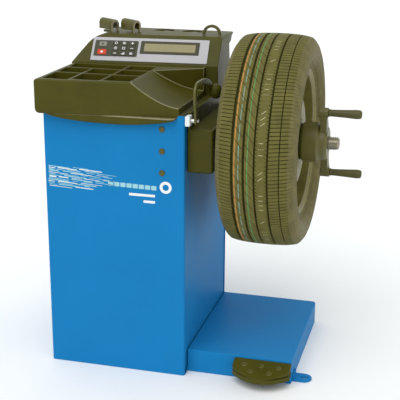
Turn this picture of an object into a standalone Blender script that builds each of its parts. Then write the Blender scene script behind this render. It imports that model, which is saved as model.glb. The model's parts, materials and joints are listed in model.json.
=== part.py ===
"""Wheel balancer: a sheet-metal cabinet with a weight tray, a display and a spindle that carries a wheel.

Metres, +Z up. Lengths are measured from the cabinet's front left foot, X to the right towards the wheel
and Y to the back. The empty "machine" then puts the middle of the cabinet's base at the world origin.
"""

import math

import bmesh
import bpy
from mathutils import Matrix, Vector

# ---------------------------------------------------------------- driving dimensions

GAP = 0.0003  # between pieces that touch
SHEET = 0.003  # thickness of the cabinet's sheet

CABINET_W, CABINET_D, CABINET_H = 0.430, 0.510, 0.805
BASE_PLATE, TOP_PLATE = 0.004, 0.003

PLATFORM_FRONT, PLATFORM_W, PLATFORM_H = 0.036, 0.321, 0.072

AXIS_Y, AXIS_Z = 0.228, 0.700  # the spindle's axis
SHAFT_R, SHAFT_END = 0.020, 0.838
WHEEL_X, TYRE_R, TYRE_W = 0.643, 0.314, 0.226  # a 205/55 R16 class wheel
BEAD_R, RIM_W, RIM_FLANGE_R, WELL_R = 0.2032, 0.165, 0.2185, 0.1735
HUB_FACE_X = 0.690  # where the wheel's disc meets the backing flange
PULLEY_X, PULLEY_R, MOTOR_PULLEY_R, BELT_W = 0.180, 0.080, 0.025, 0.016
MOTOR_Y, MOTOR_Z = 0.330, 0.400

DECK_Z = CABINET_H + TOP_PLATE + 2 * GAP  # the mouldings stand here
TRAY_TOP, TRAY_BOTTOM = 0.895, 0.795
TRAY_LEFT, TRAY_RIGHT = -0.008, 0.413
TRAY_FRONT = -0.040  # at the left end
FRONT_SWEEP = 0.095  # how far the tray's front runs back for each metre to the right
POCKET_DEPTH = 0.030
SCOOP_LEFT, SCOOP_LOW, SCOOP_POWER = 0.276, 0.826, 1.6
TRAY_BACK, PANEL_SWEEP = 0.262, 0.080  # the display housing's foot, and its sweep

HOUSING_TOP, HOUSING_BACK = 0.977, 0.455
HOUSING_LEFT, HOUSING_RIGHT = -0.012, 0.450
PANEL_TILT = math.radians(40)  # from upright
SHELF_Z = 0.9715
GAUGE_Y, GAUGE_Z, GAUGE_ROD_R = 0.0145, 0.790, 0.006
PEDAL_AXIS_Y, PEDAL_AXIS_Z, PEDAL_SHAFT_R = 0.058, 0.040, 0.007
CRANK_R = 0.0316  # the crank inside the cabinet that lifts the brake's push rod
BRAKE_X, BRAKE_PIVOT_Y, BRAKE_PIVOT_Z = 0.157, 0.352, 0.590
DRUM_R = 0.080  # the brake drum beside the spindle's pulley
KEY_TRAVEL = 0.001

# ---------------------------------------------------------------- places that several functions share

PLUG_X, PLUG_Z = 0.363, (0.635, 0.699, 0.763)
INLET_X, SWITCH_X, INLET_Z = 0.100, 0.160, 0.160
VENT_COLUMNS, VENT_ROWS, VENT_SIZE = (0.08, 0.14, 0.245, 0.305), (0.55, 0.58), (0.045, 0.006)
POCKET_ROWS = ((-0.030, 0.086), (0.095, 0.172), (0.182, 0.250))
POCKET_COLUMNS = ((0.010, 0.087), (0.096, 0.180), (0.189, 0.268))
POCKET_BACK_COLUMNS = ((0.010, 0.180), (0.189, 0.268))
SHELF_HOLES, SHELF_HOLE_Y, SHELF_HOLE_R = (0.218, 0.312), 0.502, 0.034
PEG_X, PEG_Y, PEG_YAW = (0.086, 0.159), 0.385, math.radians(-24)
COVER_RIGHT, COVER_FRONT, COVER_BACK, COVER_LOW, COVER_HIGH = 0.505, 0.045, 0.420, 0.632, 0.762
FLANGE_FRONT = 0.032
NUT_REACH = 0.107
GAUGE_HEAD = (0.163, 0.056)
PEDAL_FRONT, PEDAL_CHEEKS = -0.080, ((0.574, 0.580), (0.7405, 0.7465))
START_KEY = ("start_key", (0.034, 0.064), (0.024, 0.016))
STOP_KEY = ("stop_key", (0.034, 0.035), (0.028, 0.018))

# ---------------------------------------------------------------- materials

BLUE = ("blue_paint", (0.02, 0.22, 0.62), 0.45, 0.0)
BLACK = ("black_moulding", (0.035, 0.035, 0.02), 0.55, 0.0)
RUBBER = ("black_rubber", (0.03, 0.03, 0.02), 0.8, 0.0)
TYRE = ("tyre_rubber", (0.05, 0.05, 0.03), 0.8, 0.0)
STEEL = ("bright_steel", (0.6, 0.6, 0.58), 0.3, 1.0)
ZINC = ("zinc_plated_steel", (0.5, 0.5, 0.48), 0.45, 1.0)
ALUMINIUM = ("cast_aluminium", (0.6, 0.6, 0.6), 0.45, 1.0)
RIM = ("painted_rim", (0.25, 0.26, 0.22), 0.4, 0.3)
SILVER = ("silver_panel", (0.62, 0.6, 0.64), 0.4, 0.2)
LCD = ("display_glass", (0.28, 0.25, 0.12), 0.15, 0.0)
KEY = ("dark_key", (0.06, 0.06, 0.05), 0.5, 0.0)
GREY_KEY = ("grey_key", (0.35, 0.36, 0.3), 0.5, 0.0)
RED_KEY = ("red_key", (0.8, 0.06, 0.02), 0.45, 0.0)
NYLON = ("white_nylon", (0.85, 0.87, 0.88), 0.4, 0.0)
BOARD = ("green_board", (0.02, 0.2, 0.08), 0.5, 0.0)
CASTING = ("grey_casting", (0.18, 0.19, 0.2), 0.5, 0.6)


def material(finish):
    """The Principled material for a (name, colour, roughness, metallic) finish."""
    name, colour, roughness, metallic = finish
    made = bpy.data.materials.get(name)
    if made is None:
        made = bpy.data.materials.new(name)
        made.use_nodes = True
        shader = made.node_tree.nodes["Principled BSDF"]
        shader.inputs["Base Color"].default_value = (*colour, 1)
        shader.inputs["Roughness"].default_value = roughness
        shader.inputs["Metallic"].default_value = metallic
        made.diffuse_color = (*colour, 1)
    return made


# ---------------------------------------------------------------- mesh tools


def loft(near, far):
    """A solid between two outlines with the same number of points."""
    bm = bmesh.new()
    rings = [[bm.verts.new(p) for p in ring] for ring in (near, far)]
    bm.faces.new(rings[0])
    bm.faces.new(rings[1])
    count = len(near)
    for i in range(count):
        j = (i + 1) % count
        bm.faces.new((rings[0][i], rings[0][j], rings[1][j], rings[1][i]))
    bmesh.ops.recalc_face_normals(bm, faces=bm.faces)
    return bm


def block(low, high):
    (x0, y0, z0), (x1, y1, z1) = low, high
    outline = ((x0, y0), (x1, y0), (x1, y1), (x0, y1))
    return loft([(x, y, z0) for x, y in outline], [(x, y, z1) for x, y in outline])


def prism(outline, axis, start, end):
    """An outline in the plane across an axis, pushed along it: (y, z) for X, (x, z) for Y, (x, y) for Z."""

    def place(point, along):
        a, b = point
        return {"X": (along, a, b), "Y": (a, along, b), "Z": (a, b, along)}[axis]

    return loft([place(p, start) for p in outline], [place(p, end) for p in outline])


def circle(centre, radius, steps, start=0.0, sweep=math.tau):
    """Points round a circle, or along an arc when sweep is less than a full turn."""
    spans = steps if sweep == math.tau else steps - 1
    angles = [start + sweep * i / spans for i in range(steps)]
    return [(centre[0] + radius * math.cos(a), centre[1] + radius * math.sin(a)) for a in angles]


def disc(axis, centre, radius, start, end, steps=16):
    return prism(circle(centre, radius, steps), axis, start, end)


def rounded(low, high, radius, steps=3):
    """A rectangle's outline with round corners."""
    (x0, y0), (x1, y1) = low, high
    corners = ((x1 - radius, y1 - radius), (x0 + radius, y1 - radius),
               (x0 + radius, y0 + radius), (x1 - radius, y0 + radius))
    points = []
    for quarter, corner in enumerate(corners):
        points += circle(corner, radius, steps, quarter * math.pi / 2, math.pi / 2)
    return points


def turned(profile, steps=32, centre=(0.0, 0.0)):
    """A closed profile of (x, radius) points turned round the X axis."""
    bm = bmesh.new()
    rings = []
    for x, radius in profile:
        if radius == 0:
            rings.append([bm.verts.new((x, *centre))] * steps)
        else:
            rings.append([bm.verts.new((x, y, z)) for y, z in circle(centre, radius, steps)])
    for a, b in zip(rings, rings[1:] + rings[:1]):
        for i in range(steps):
            j = (i + 1) % steps
            corners = list(dict.fromkeys((a[i], a[j], b[j], b[i])))
            if len(corners) > 2:
                bm.faces.new(corners)
    bmesh.ops.recalc_face_normals(bm, faces=bm.faces)
    return bm


# ---------------------------------------------------------------- objects


def empty(name, location=(0, 0, 0), parent=None):
    made = bpy.data.objects.new(name, None)
    made.location = location
    made.parent = parent
    bpy.context.scene.collection.objects.link(made)
    return made


def piece(name, bm, finish, parent=None, smooth=True):
    """The mesh as a named object under the machine, or under the pivot that it turns or slides with."""
    mesh = bpy.data.meshes.new(name)
    bm.to_mesh(mesh)
    bm.free()
    if smooth:
        mesh.shade_smooth()
        mesh.set_sharp_from_angle(angle=math.radians(35))
    mesh.materials.append(material(finish))
    made = bpy.data.objects.new(name, mesh)
    made.parent = parent or MACHINE
    bpy.context.scene.collection.objects.link(made)
    return made


def tool_piece(name, bm, parent=None):
    """A hidden object that a Boolean uses."""
    tool = piece(name, bm, BLACK, parent, smooth=False)
    tool.hide_render = True
    tool.display_type = "WIRE"
    return tool


def combine(target, operation, tool):
    change = target.modifiers.new(tool.name, "BOOLEAN")
    change.operation = operation
    change.object = tool
    change.solver = "EXACT"


def alter(target, operation, *meshes):
    """Cuts meshes from a piece, or joins them to it, with a Boolean for each."""
    for number, bm in enumerate(meshes):
        tool = tool_piece(f"{target.name}_{operation.lower()}_{number}", bm, target.parent)
        combine(target, operation, tool)
    return target


def cut(target, *meshes):
    return alter(target, "DIFFERENCE", *meshes)


def join(target, *meshes):
    return alter(target, "UNION", *meshes)


def soften(target, width, segments=2):
    """Rounds a piece's sharp edges."""
    edge = target.modifiers.new("rounded_edges", "BEVEL")
    edge.width = width
    edge.segments = segments
    edge.limit_method = "ANGLE"
    edge.angle_limit = math.radians(50)
    return target


# ---------------------------------------------------------------- cabinet and platform


def cabinet():
    """The sheet-metal body: a welded front, sides and base, a top plate and a rear cover."""
    back = CABINET_D - SHEET - GAP
    shell = piece("cabinet_shell", block((0, 0, 0), (CABINET_W, back, CABINET_H)), BLUE)
    wall = CABINET_W - SHEET
    cut(shell, block((SHEET, SHEET, BASE_PLATE), (wall, 1, 1)),
        disc("X", (AXIS_Y, AXIS_Z), 0.052, wall - 0.01, CABINET_W + 0.01, 24),
        disc("X", (PEDAL_AXIS_Y, PEDAL_AXIS_Z), 0.010, wall - 0.01, CABINET_W + 0.01, 12),
        disc("X", (GAUGE_Y, GAUGE_Z), 0.0085, wall - 0.01, CABINET_W + 0.01, 12),
        *[disc("Y", (PLUG_X, z), 0.007, -0.01, SHEET + 0.01, 12) for z in PLUG_Z])
    cover = piece("cabinet_rear_cover",
                  block((0, CABINET_D - SHEET, 0), (CABINET_W, CABINET_D, CABINET_H)), BLUE)
    length, height = VENT_SIZE
    vents = [prism(rounded((x, z), (x + length, z + height), 0.0029, 2), "Y", 0.4, 0.6)
             for x in VENT_COLUMNS for z in VENT_ROWS]
    cut(cover, block((INLET_X - 0.016, 0.4, INLET_Z - 0.014), (INLET_X + 0.016, 0.6, INLET_Z + 0.014)),
        block((SWITCH_X - 0.0095, 0.4, INLET_Z - 0.013), (SWITCH_X + 0.0095, 0.6, INLET_Z + 0.013)), *vents)
    top = piece("cabinet_top_plate", block((0, 0, CABINET_H + GAP),
                                           (CABINET_W, CABINET_D, CABINET_H + GAP + TOP_PLATE)), BLACK)
    cut(top, block((0.15, 0.36, 0.7), (0.25, 0.42, 0.9)))  # the display's wiring comes up here
    for number, z in enumerate(PLUG_Z, 1):
        plug = turned([(0.010, 0), (0.010, 0.006), (-GAP, 0.006), (-GAP, 0.009), (-0.002, 0.009),
                       (-0.003, 0.0075), (-0.003, 0)], 12)
        bmesh.ops.transform(plug, verts=plug.verts, matrix=Matrix.Translation((PLUG_X, 0, z))
                            @ Matrix.Rotation(math.radians(90), 4, "Z"))
        piece(f"hole_plug_{number}", plug, BLACK)


def platform():
    """The low box, open below and towards the cabinet, with the pedal's bearing cheeks, and its lug."""
    left, right, corner = CABINET_W + GAP, CABINET_W + PLATFORM_W, 0.012
    outline = [(left, PLATFORM_FRONT), (right, PLATFORM_FRONT),
               *circle((right - corner, CABINET_D - corner), corner, 5, 0, math.pi / 2), (left, CABINET_D)]
    inner = [(left - 0.01, PLATFORM_FRONT + SHEET), (right - SHEET, PLATFORM_FRONT + SHEET),
             *circle((right - corner, CABINET_D - corner), corner - SHEET, 5, 0, math.pi / 2),
             (left - 0.01, CABINET_D - SHEET)]
    box = piece("base_platform", prism(outline, "Z", 0, PLATFORM_H), BLUE)
    cut(box, prism(inner, "Z", -0.01, PLATFORM_H - SHEET), block((0.595, 0, 0.022), (0.740, 0.060, 0.060)))
    for x0, x1 in PEDAL_CHEEKS:
        join(box, block((x0, PLATFORM_FRONT + 0.0025, 0.0155), (x1, 0.078, PLATFORM_H - 0.0025)))
    cut(box, disc("X", (PEDAL_AXIS_Y, PEDAL_AXIS_Z), PEDAL_SHAFT_R + 0.0005, 0.5, 0.8))
    y = 0.078
    tab = [(right + GAP, y - 0.024), (right + 0.030, y - 0.024),
           *circle((right + 0.032, y), 0.024, 8, -math.pi / 2, math.pi), (right + GAP, y + 0.024)]
    lug = piece("anchor_lug", prism(tab, "Z", 0, 0.006), BLUE)
    join(lug, block((right + GAP, y - 0.024, 0.003), (right + 0.005, y + 0.024, 0.020)))
    cut(lug, prism(rounded((right + 0.022, y - 0.006), (right + 0.046, y + 0.006), 0.0058), "Z", -0.01, 0.03))


# ---------------------------------------------------------------- weight tray and display housing


def tray_front(x):
    return TRAY_FRONT + (x - TRAY_LEFT) * FRONT_SWEEP


def housing_front(x):
    return TRAY_BACK + (x - HOUSING_LEFT) * PANEL_SWEEP


def scoop_z(x):
    """Height of the scoop's concave surface, which is steep at the tray and flattens towards the right."""
    share = (TRAY_RIGHT - x) / (TRAY_RIGHT - SCOOP_LEFT)
    return SCOOP_LOW + (TRAY_TOP - SCOOP_LOW) * share ** SCOOP_POWER


def scoop_back(x):
    """The wall behind the scoop runs back slantwise from the pockets' rim to the display."""
    return 0.190 + (x - SCOOP_LEFT) * 0.60


def weight_tray():
    """The moulding with eight pockets for weights, a scooped right wing and a skirt over the cabinet."""
    corner = circle((TRAY_LEFT + 0.014, TRAY_BOTTOM + 0.014), 0.014, 5, math.pi, math.pi / 2)
    outline = [(TRAY_RIGHT, TRAY_BOTTOM), (TRAY_RIGHT, TRAY_TOP), (TRAY_LEFT, TRAY_TOP), *corner]
    tray = piece("weight_tray", loft([(x, tray_front(x), z) for x, z in outline],
                                     [(x, housing_front(x) - GAP, z) for x, z in outline]), BLACK)
    xs = [SCOOP_LEFT + (TRAY_RIGHT + 0.01 - SCOOP_LEFT) * i / 12 for i in range(13)]
    curve = [(x, scoop_z(min(x, TRAY_RIGHT))) for x in xs] + [(xs[-1], 0.95), (xs[0], 0.95)]
    scoop = loft([(x, -0.2, z) for x, z in curve], [(x, scoop_back(x), z) for x, z in curve])
    floor = TRAY_TOP - POCKET_DEPTH
    pockets = []
    for row, (y0, y1) in enumerate(POCKET_ROWS):
        for x0, x1 in POCKET_COLUMNS if row < 2 else POCKET_BACK_COLUMNS:
            y_start = max(y0, tray_front(x1) + 0.014)
            pockets.append(prism(rounded((x0, y_start), (x1, y1), 0.006), "Z", floor, 1))
    wall = 0.004
    under = prism([(TRAY_LEFT + wall, tray_front(TRAY_LEFT) + wall),
                   (SCOOP_LEFT, tray_front(SCOOP_LEFT) + wall), (SCOOP_LEFT, TRAY_BACK - wall),
                   (TRAY_LEFT + wall, TRAY_BACK - wall)], "Z", 0.7, floor - wall)
    wing = prism([(SCOOP_LEFT - 0.001, tray_front(SCOOP_LEFT) + wall),
                  (TRAY_RIGHT - wall, tray_front(TRAY_RIGHT) + wall),
                  (TRAY_RIGHT - wall, housing_front(TRAY_RIGHT) - wall - GAP),
                  (SCOOP_LEFT - 0.001, TRAY_BACK - wall)], "Z", 0.7, SCOOP_LOW - wall)
    seat = block((-GAP, -GAP, 0.7), (0.6, 0.6, DECK_Z))
    cut(tray, scoop, *pockets, under, wing, seat)


def display_housing():
    """The hollow wedge behind the tray, open below, whose sloping front carries the display panel."""
    rise = HOUSING_TOP - TRAY_TOP
    run = rise * math.tan(PANEL_TILT)

    def section(x, inset):
        y = housing_front(x)
        return [(x, y + inset, DECK_Z - (0.1 if inset else 0)), (x, y + inset, TRAY_TOP + 0.002),
                (x, y + run + inset, HOUSING_TOP - inset), (x, HOUSING_BACK - inset, HOUSING_TOP - inset),
                (x, HOUSING_BACK - inset, DECK_Z - (0.1 if inset else 0))]

    body = piece("display_housing", loft(section(-0.1, 0), section(0.6, 0)), BLACK)
    slope = [(HOUSING_LEFT, 0.7), (HOUSING_RIGHT, 0.7), (HOUSING_RIGHT, TRAY_TOP),
             (HOUSING_RIGHT - 0.010, HOUSING_TOP - 0.006), (HOUSING_RIGHT - 0.016, HOUSING_TOP + 0.001),
             (0.072, HOUSING_TOP + 0.001), (0.050, HOUSING_TOP - 0.007), (0.030, HOUSING_TOP - 0.022),
             (0.012, HOUSING_TOP - 0.047), (HOUSING_LEFT, TRAY_TOP)]
    alter(body, "INTERSECT", prism(slope, "Y", 0.1, 0.6))
    hollow = loft(section(0.002, 0.004), section(HOUSING_RIGHT - 0.020, 0.004))
    corner = prism([(-0.05, TRAY_TOP - 0.0555), (0.050, HOUSING_TOP - 0.0135), (0.074, HOUSING_TOP - 0.0035),
                    (-0.05, 1.1)], "Y", 0.1, 0.6)
    combine(body, "DIFFERENCE", cut(tool_piece("display_housing_hollow", hollow), corner))


def panel_pieces():
    """The silver panel, keypad, display window and keys, laid out on the housing's sloping front."""
    yaw = math.atan(PANEL_SWEEP)
    panel = empty("panel", (0.047, housing_front(0.047), TRAY_TOP + 0.002), MACHINE)
    panel.rotation_euler = (math.pi / 2 - PANEL_TILT, 0, yaw)
    bezel = piece("panel_bezel", prism(rounded((0, 0.004), (0.372, 0.092), 0.003), "Z", GAP, 0.003),
                  SILVER, panel)
    soften(bezel, 0.0006, 1)
    keypad_box, lcd_box = ((0.008, 0.022), (0.146, 0.078)), ((0.154, 0.034), (0.340, 0.080))
    cut(bezel, block((lcd_box[0][0], lcd_box[0][1], -0.1), (lcd_box[1][0], lcd_box[1][1], 0.1)))
    pad = piece("keypad_base", block((*keypad_box[0], 0.003 + GAP), (*keypad_box[1], 0.005)), KEY, panel)
    window = piece("lcd_window", block((lcd_box[0][0] + GAP, lcd_box[0][1] + GAP, GAP),
                                       (lcd_box[1][0] - GAP, lcd_box[1][1] - GAP, 0.0048)), LCD, panel)
    cut(window, block((0.164, 0.041, 0.0035), (0.330, 0.073, 0.1)))
    keys = [(*START_KEY, GREY_KEY), (*STOP_KEY, RED_KEY)]
    for row in range(3):
        for column in range(3):
            place = (0.076 + 0.026 * column, 0.068 - 0.0185 * row)
            keys.append((f"function_key_{1 + 3 * row + column}", place, (0.021, 0.0145), KEY))
    well_floor, key_top, draft = 0.0036, 0.0068, 0.0006
    wells = []
    for name, (x, y), (w, h), finish in keys:
        low, high = (x - w / 2, y - h / 2), (x + w / 2, y + h / 2)
        well = rounded((low[0] - GAP, low[1] - GAP), (high[0] + GAP, high[1] + GAP), 0.0018, 2)
        wells.append(prism(well, "Z", well_floor, 0.1))
        foot = rounded(low, high, 0.0015, 2)
        crown = rounded((low[0] + draft, low[1] + draft), (high[0] - draft, high[1] - draft), 0.0013, 2)
        piece(name, loft([(*p, well_floor + KEY_TRAVEL + GAP) for p in foot], [(*p, key_top) for p in crown]),
              finish, panel)
    cut(pad, *wells)
    board = piece("control_board", block((0.03, 0.012, -0.030), (0.33, 0.080, -0.0284)), BOARD, panel)
    join(board, block((0.06, 0.03, -0.031), (0.10, 0.07, -0.022)),
         block((0.2, 0.03, -0.031), (0.26, 0.06, -0.020)))


def shelf_and_pegs():
    """The rear shelf with its two holes for cones, and the half ring and two pegs on the housing's top."""
    y0, y1 = HOUSING_BACK + GAP, 0.548
    shelf = piece("tool_shelf", prism(rounded((0.020, y0), (0.440, y1), 0.012), "Z",
                                      SHELF_Z - 0.006, SHELF_Z), BLACK)
    cut(shelf, *[disc("Z", (x, SHELF_HOLE_Y), SHELF_HOLE_R, 0.9, 1.0, 24) for x in SHELF_HOLES])
    join(shelf, block((0.05, y0, SHELF_Z - 0.045), (0.41, y0 + 0.004, SHELF_Z - 0.003)))
    foot = (0.402, HOUSING_TOP + 0.001 + GAP)
    ring = [*circle(foot, 0.0305, 11, 0, math.pi), *reversed(circle(foot, 0.0215, 11, 0, math.pi))]
    piece("housing_loop", prism(ring, "Y", 0.405, 0.414), BLACK)
    for number, x in enumerate(PEG_X, 1):
        pivot = empty(f"peg_{number}_foot", (x, PEG_Y, HOUSING_TOP + GAP), MACHINE)
        pivot.rotation_euler.z = PEG_YAW
        near, far = saddle(0.0185, 0.040, 0.0), saddle(0.0160, 0.043, 0.010)
        peg = piece(f"cone_peg_{number}",
                    loft([(0.0, y, z) for y, z in near], [(0.006, y, z) for y, z in near]), BLACK, pivot)
        body = saddle(0.0185, 0.040, 0.010)
        join(peg, loft([(0.001, y, z) for y, z in body], [(-0.050, y, z) for y, z in far]))


def saddle(half, height, foot):
    """An upturned U: two legs that end at foot, and a round top."""
    wall = 0.004
    outer = circle((0, height - half), half, 8, 0, math.pi)
    inner = circle((0, height - half), half - wall, 8, math.pi, -math.pi)
    return [(half, foot), *outer, (-half, foot), (wall - half, foot), *inner, (half - wall, foot)]


# ---------------------------------------------------------------- spindle and its drive


def spindle():
    """The shaft in its two bearings, its housing and bracket, and what turns with it."""
    axis = empty("spindle_axis", (0, AXIS_Y, AXIS_Z), MACHINE)
    flange = HUB_FACE_X - 0.012
    piece("main_shaft", turned([(0.140, 0), (0.140, 0.014), (0.205, 0.014), (0.205, SHAFT_R),
                                (0.640, SHAFT_R), (0.640, 0.030), (flange - GAP, 0.030),
                                (flange - GAP, SHAFT_R), (SHAFT_END - 0.004, SHAFT_R),
                                (SHAFT_END, SHAFT_R - 0.004), (SHAFT_END, 0)]), STEEL, axis)
    piece("backing_flange", turned([(flange, SHAFT_R + GAP), (flange, 0.045), (flange - 0.014, 0.055),
                                    (flange - 0.014, 0.072), (HUB_FACE_X - GAP, 0.072),
                                    (HUB_FACE_X - GAP, SHAFT_R + GAP)]), CASTING, axis)
    rim, half = PULLEY_R, BELT_W / 2
    piece("shaft_pulley", turned([(BRAKE_X - 0.008, 0.014 + GAP), (BRAKE_X - 0.008, DRUM_R),
                                  (PULLEY_X - half - 0.004, DRUM_R), (PULLEY_X - half - 0.004, rim + 0.004),
                                  (PULLEY_X - half - 0.001, rim + 0.004), (PULLEY_X - half - 0.001, rim),
                                  (PULLEY_X + half + 0.001, rim), (PULLEY_X + half + 0.001, rim + 0.004),
                                  (PULLEY_X + half + 0.004, rim + 0.004),
                                  (PULLEY_X + half + 0.004, 0.014 + GAP)], 40), ALUMINIUM, axis)
    tube = turned([(0.212, 0.041), (0.212, 0.050), (0.600, 0.050), (0.628, 0.044), (0.628, 0.041)],
                  centre=(AXIS_Y, AXIS_Z))
    piece("spindle_housing", tube, CASTING)
    for name, x in (("rear_bearing", 0.214), ("front_bearing", 0.596)):
        inside, outside = SHAFT_R + 0.0004, 0.041 - GAP
        ring = turned([(x, inside), (x, outside), (x + 0.020, outside), (x + 0.020, inside)],
                      centre=(AXIS_Y, AXIS_Z))
        piece(name, ring, STEEL)
    # The bracket stands on the right wall, inside, and holds the housing through the two force sensors.
    bracket = piece("spindle_bracket", block((0.300, AXIS_Y - 0.105, AXIS_Z - 0.075),
                                             (CABINET_W - SHEET - GAP, AXIS_Y - 0.095, AXIS_Z + 0.075)),
                    CASTING)
    join(bracket, block((CABINET_W - 0.012, AXIS_Y - 0.105, AXIS_Z - 0.075),
                        (CABINET_W - SHEET - GAP, AXIS_Y + 0.105, AXIS_Z + 0.075)),
         block((0.300, AXIS_Y - 0.105, AXIS_Z - 0.075),
               (CABINET_W - SHEET - GAP, AXIS_Y + 0.060, AXIS_Z - 0.065)),
         block((0.2030, BRAKE_PIVOT_Y - 0.030, BRAKE_PIVOT_Z - 0.012),
               (CABINET_W - SHEET - GAP, BRAKE_PIVOT_Y + 0.012, AXIS_Z - 0.066)),
         disc("X", (BRAKE_PIVOT_Y, BRAKE_PIVOT_Z), 0.004, BRAKE_X - 0.012, 0.210, 12))
    cut(bracket, disc("X", (AXIS_Y, AXIS_Z), 0.053, 0.40, 0.45, 24))
    for number, (low, high) in enumerate((((0.315, AXIS_Y - 0.0945, AXIS_Z - 0.014),
                                           (0.343, AXIS_Y - 0.0506, AXIS_Z + 0.014)),
                                          ((0.315, AXIS_Y - 0.014, AXIS_Z - 0.0645),
                                           (0.343, AXIS_Y + 0.014, AXIS_Z - 0.0506))), 1):
        soften(piece(f"force_sensor_{number}", block(low, high), STEEL), 0.002, 1)


def drive():
    """The motor, its pulley and the flat belt up to the spindle's pulley."""
    body = [(0.198, 0), (0.198, 0.030), (0.206, 0.052), (0.330, 0.052), (0.340, 0.040), (0.340, 0)]
    motor = piece("drive_motor", turned(body, 24, (MOTOR_Y, MOTOR_Z)), CASTING)
    join(motor, block((0.215, MOTOR_Y - 0.045, MOTOR_Z + 0.01), (0.320, 0.5065, MOTOR_Z + 0.045)))
    cut(motor, disc("X", (MOTOR_Y, MOTOR_Z), 0.0075, 0.19, 0.225))
    axis = empty("motor_axis", (0, MOTOR_Y, MOTOR_Z), MACHINE)
    rim, half = MOTOR_PULLEY_R, BELT_W / 2
    left, right = PULLEY_X - half, PULLEY_X + half
    piece("motor_pulley", turned([(0.160, 0), (0.160, 0.010), (left - 0.004, 0.010),
                                  (left - 0.004, rim + 0.004), (left - 0.001, rim + 0.004),
                                  (left - 0.001, rim), (right + 0.001, rim),
                                  (right + 0.001, rim + 0.004), (right + 0.004, rim + 0.004),
                                  (right + 0.004, 0.007), (0.220, 0.007), (0.220, 0)], 24), ALUMINIUM, axis)
    thick = 0.003
    belt = piece("drive_belt", prism(belt_outline(thick + 2 * GAP), "X", left, right), RUBBER)
    cut(belt, prism(belt_outline(2 * GAP), "X", 0.1, 0.3))


def belt_outline(off):
    """The open belt's outline at a distance off the two pulleys: two arcs joined by their common tangents."""
    big, small = Vector((AXIS_Y, AXIS_Z)), Vector((MOTOR_Y, MOTOR_Z))
    along = small - big
    lean = math.atan2(along.y, along.x)
    half = math.acos((PULLEY_R - MOTOR_PULLEY_R) / along.length)
    return [*circle(big, PULLEY_R + off, 25, lean + half, math.tau - 2 * half),
            *circle(small, MOTOR_PULLEY_R + off, 11, lean - half, 2 * half)]


def spindle_cover():
    """The black cover over the spindle where it leaves the cabinet, with the flat panel above it."""
    left, wall = CABINET_W + GAP, 0.004
    cover = piece("spindle_cover",
                  block((left, COVER_FRONT, COVER_LOW), (COVER_RIGHT, COVER_BACK, COVER_HIGH)), BLACK)
    join(cover, block((left, FLANGE_FRONT, COVER_HIGH - 0.005),
                      (left + 0.008, COVER_BACK + 0.050, DECK_Z - GAP)))
    cut(cover, block((left - 0.01, COVER_FRONT + wall, COVER_LOW + wall),
                     (COVER_RIGHT - wall, COVER_BACK - wall, COVER_HIGH - wall)),
        disc("X", (AXIS_Y, AXIS_Z), 0.052, COVER_RIGHT - 0.02, COVER_RIGHT + 0.02, 24))


# ---------------------------------------------------------------- wheel and quick nut


def wheel():
    """A tyre, its rim and the disc in the rim, held on the shaft against the backing flange."""
    axis = empty("wheel_axis", (WHEEL_X, AXIS_Y, AXIS_Z), MACHINE)
    steps = 40
    outer = [(-0.0815, BEAD_R), (-0.0838, 0.2125), (-0.0870, 0.2194), (-0.106, 0.238), (-TYRE_W / 2, 0.262),
             (-0.109, 0.288), (-0.094, 0.304), (-0.060, 0.3120), (0.0, TYRE_R)]
    inner = [(-0.068, BEAD_R), (-0.080, 0.222), (-0.102, 0.250), (-0.102, 0.280), (-0.080, 0.2965),
             (0.0, 0.3030)]
    profile = [*outer, *mirrored(outer), *[(-x, r) for x, r in inner], *reversed(inner[:-1])]
    piece("tyre", turned(profile, steps), TYRE, axis)
    half, seat = RIM_W / 2, BEAD_R - 2 * GAP
    flange = [(-half - 0.010, RIM_FLANGE_R - 0.004), (-half - 0.006, RIM_FLANGE_R),
              (-half - 0.002, RIM_FLANGE_R - 0.006), (-half, seat)]
    outside = [*flange, (-0.050, seat), (-0.035, 0.178), (0.020, 0.178), (0.035, seat),
               *[(-x, r) for x, r in reversed(flange)]]
    inside = [(half + 0.004, seat - 0.004), (0.038, seat - 0.005), (0.0225, WELL_R), (-0.036, WELL_R),
              (-0.053, seat - 0.005), (-half - 0.004, seat - 0.004)]
    piece("wheel_rim", turned([*outside, *inside], steps), RIM, axis)
    face, skirt = HUB_FACE_X - WHEEL_X, WELL_R - GAP
    front = [(0.002, skirt), (0.0215, skirt), (0.040, 0.166), (0.050, 0.158), (0.074, 0.126), (0.066, 0.086),
             (face + 0.008, 0.074), (face + 0.006, 0.033)]
    back = [(face, 0.033), (face, 0.078), (0.058, 0.090), (0.066, 0.124), (0.044, 0.154), (0.036, 0.161),
            (0.020, skirt - 0.004), (0.002, skirt - 0.004)]
    disc_piece = piece("wheel_disc", turned([*front, *back], steps), RIM, axis)
    for count, ring, radius, turn in ((8, 0.142, 0.011, 0.0), (5, 0.056, 0.007, 0.5)):
        angles = [math.tau * (i + turn) / count for i in range(count)]
        cut(disc_piece, *[disc("X", (ring * math.cos(a), ring * math.sin(a)), radius, 0.03, 0.09, 8)
                          for a in angles])


def mirrored(half):
    """The other half of a profile that ends on the middle plane, which it doesn't repeat."""
    return [(-x, r) for x, r in reversed(half[:-1])]


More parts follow.
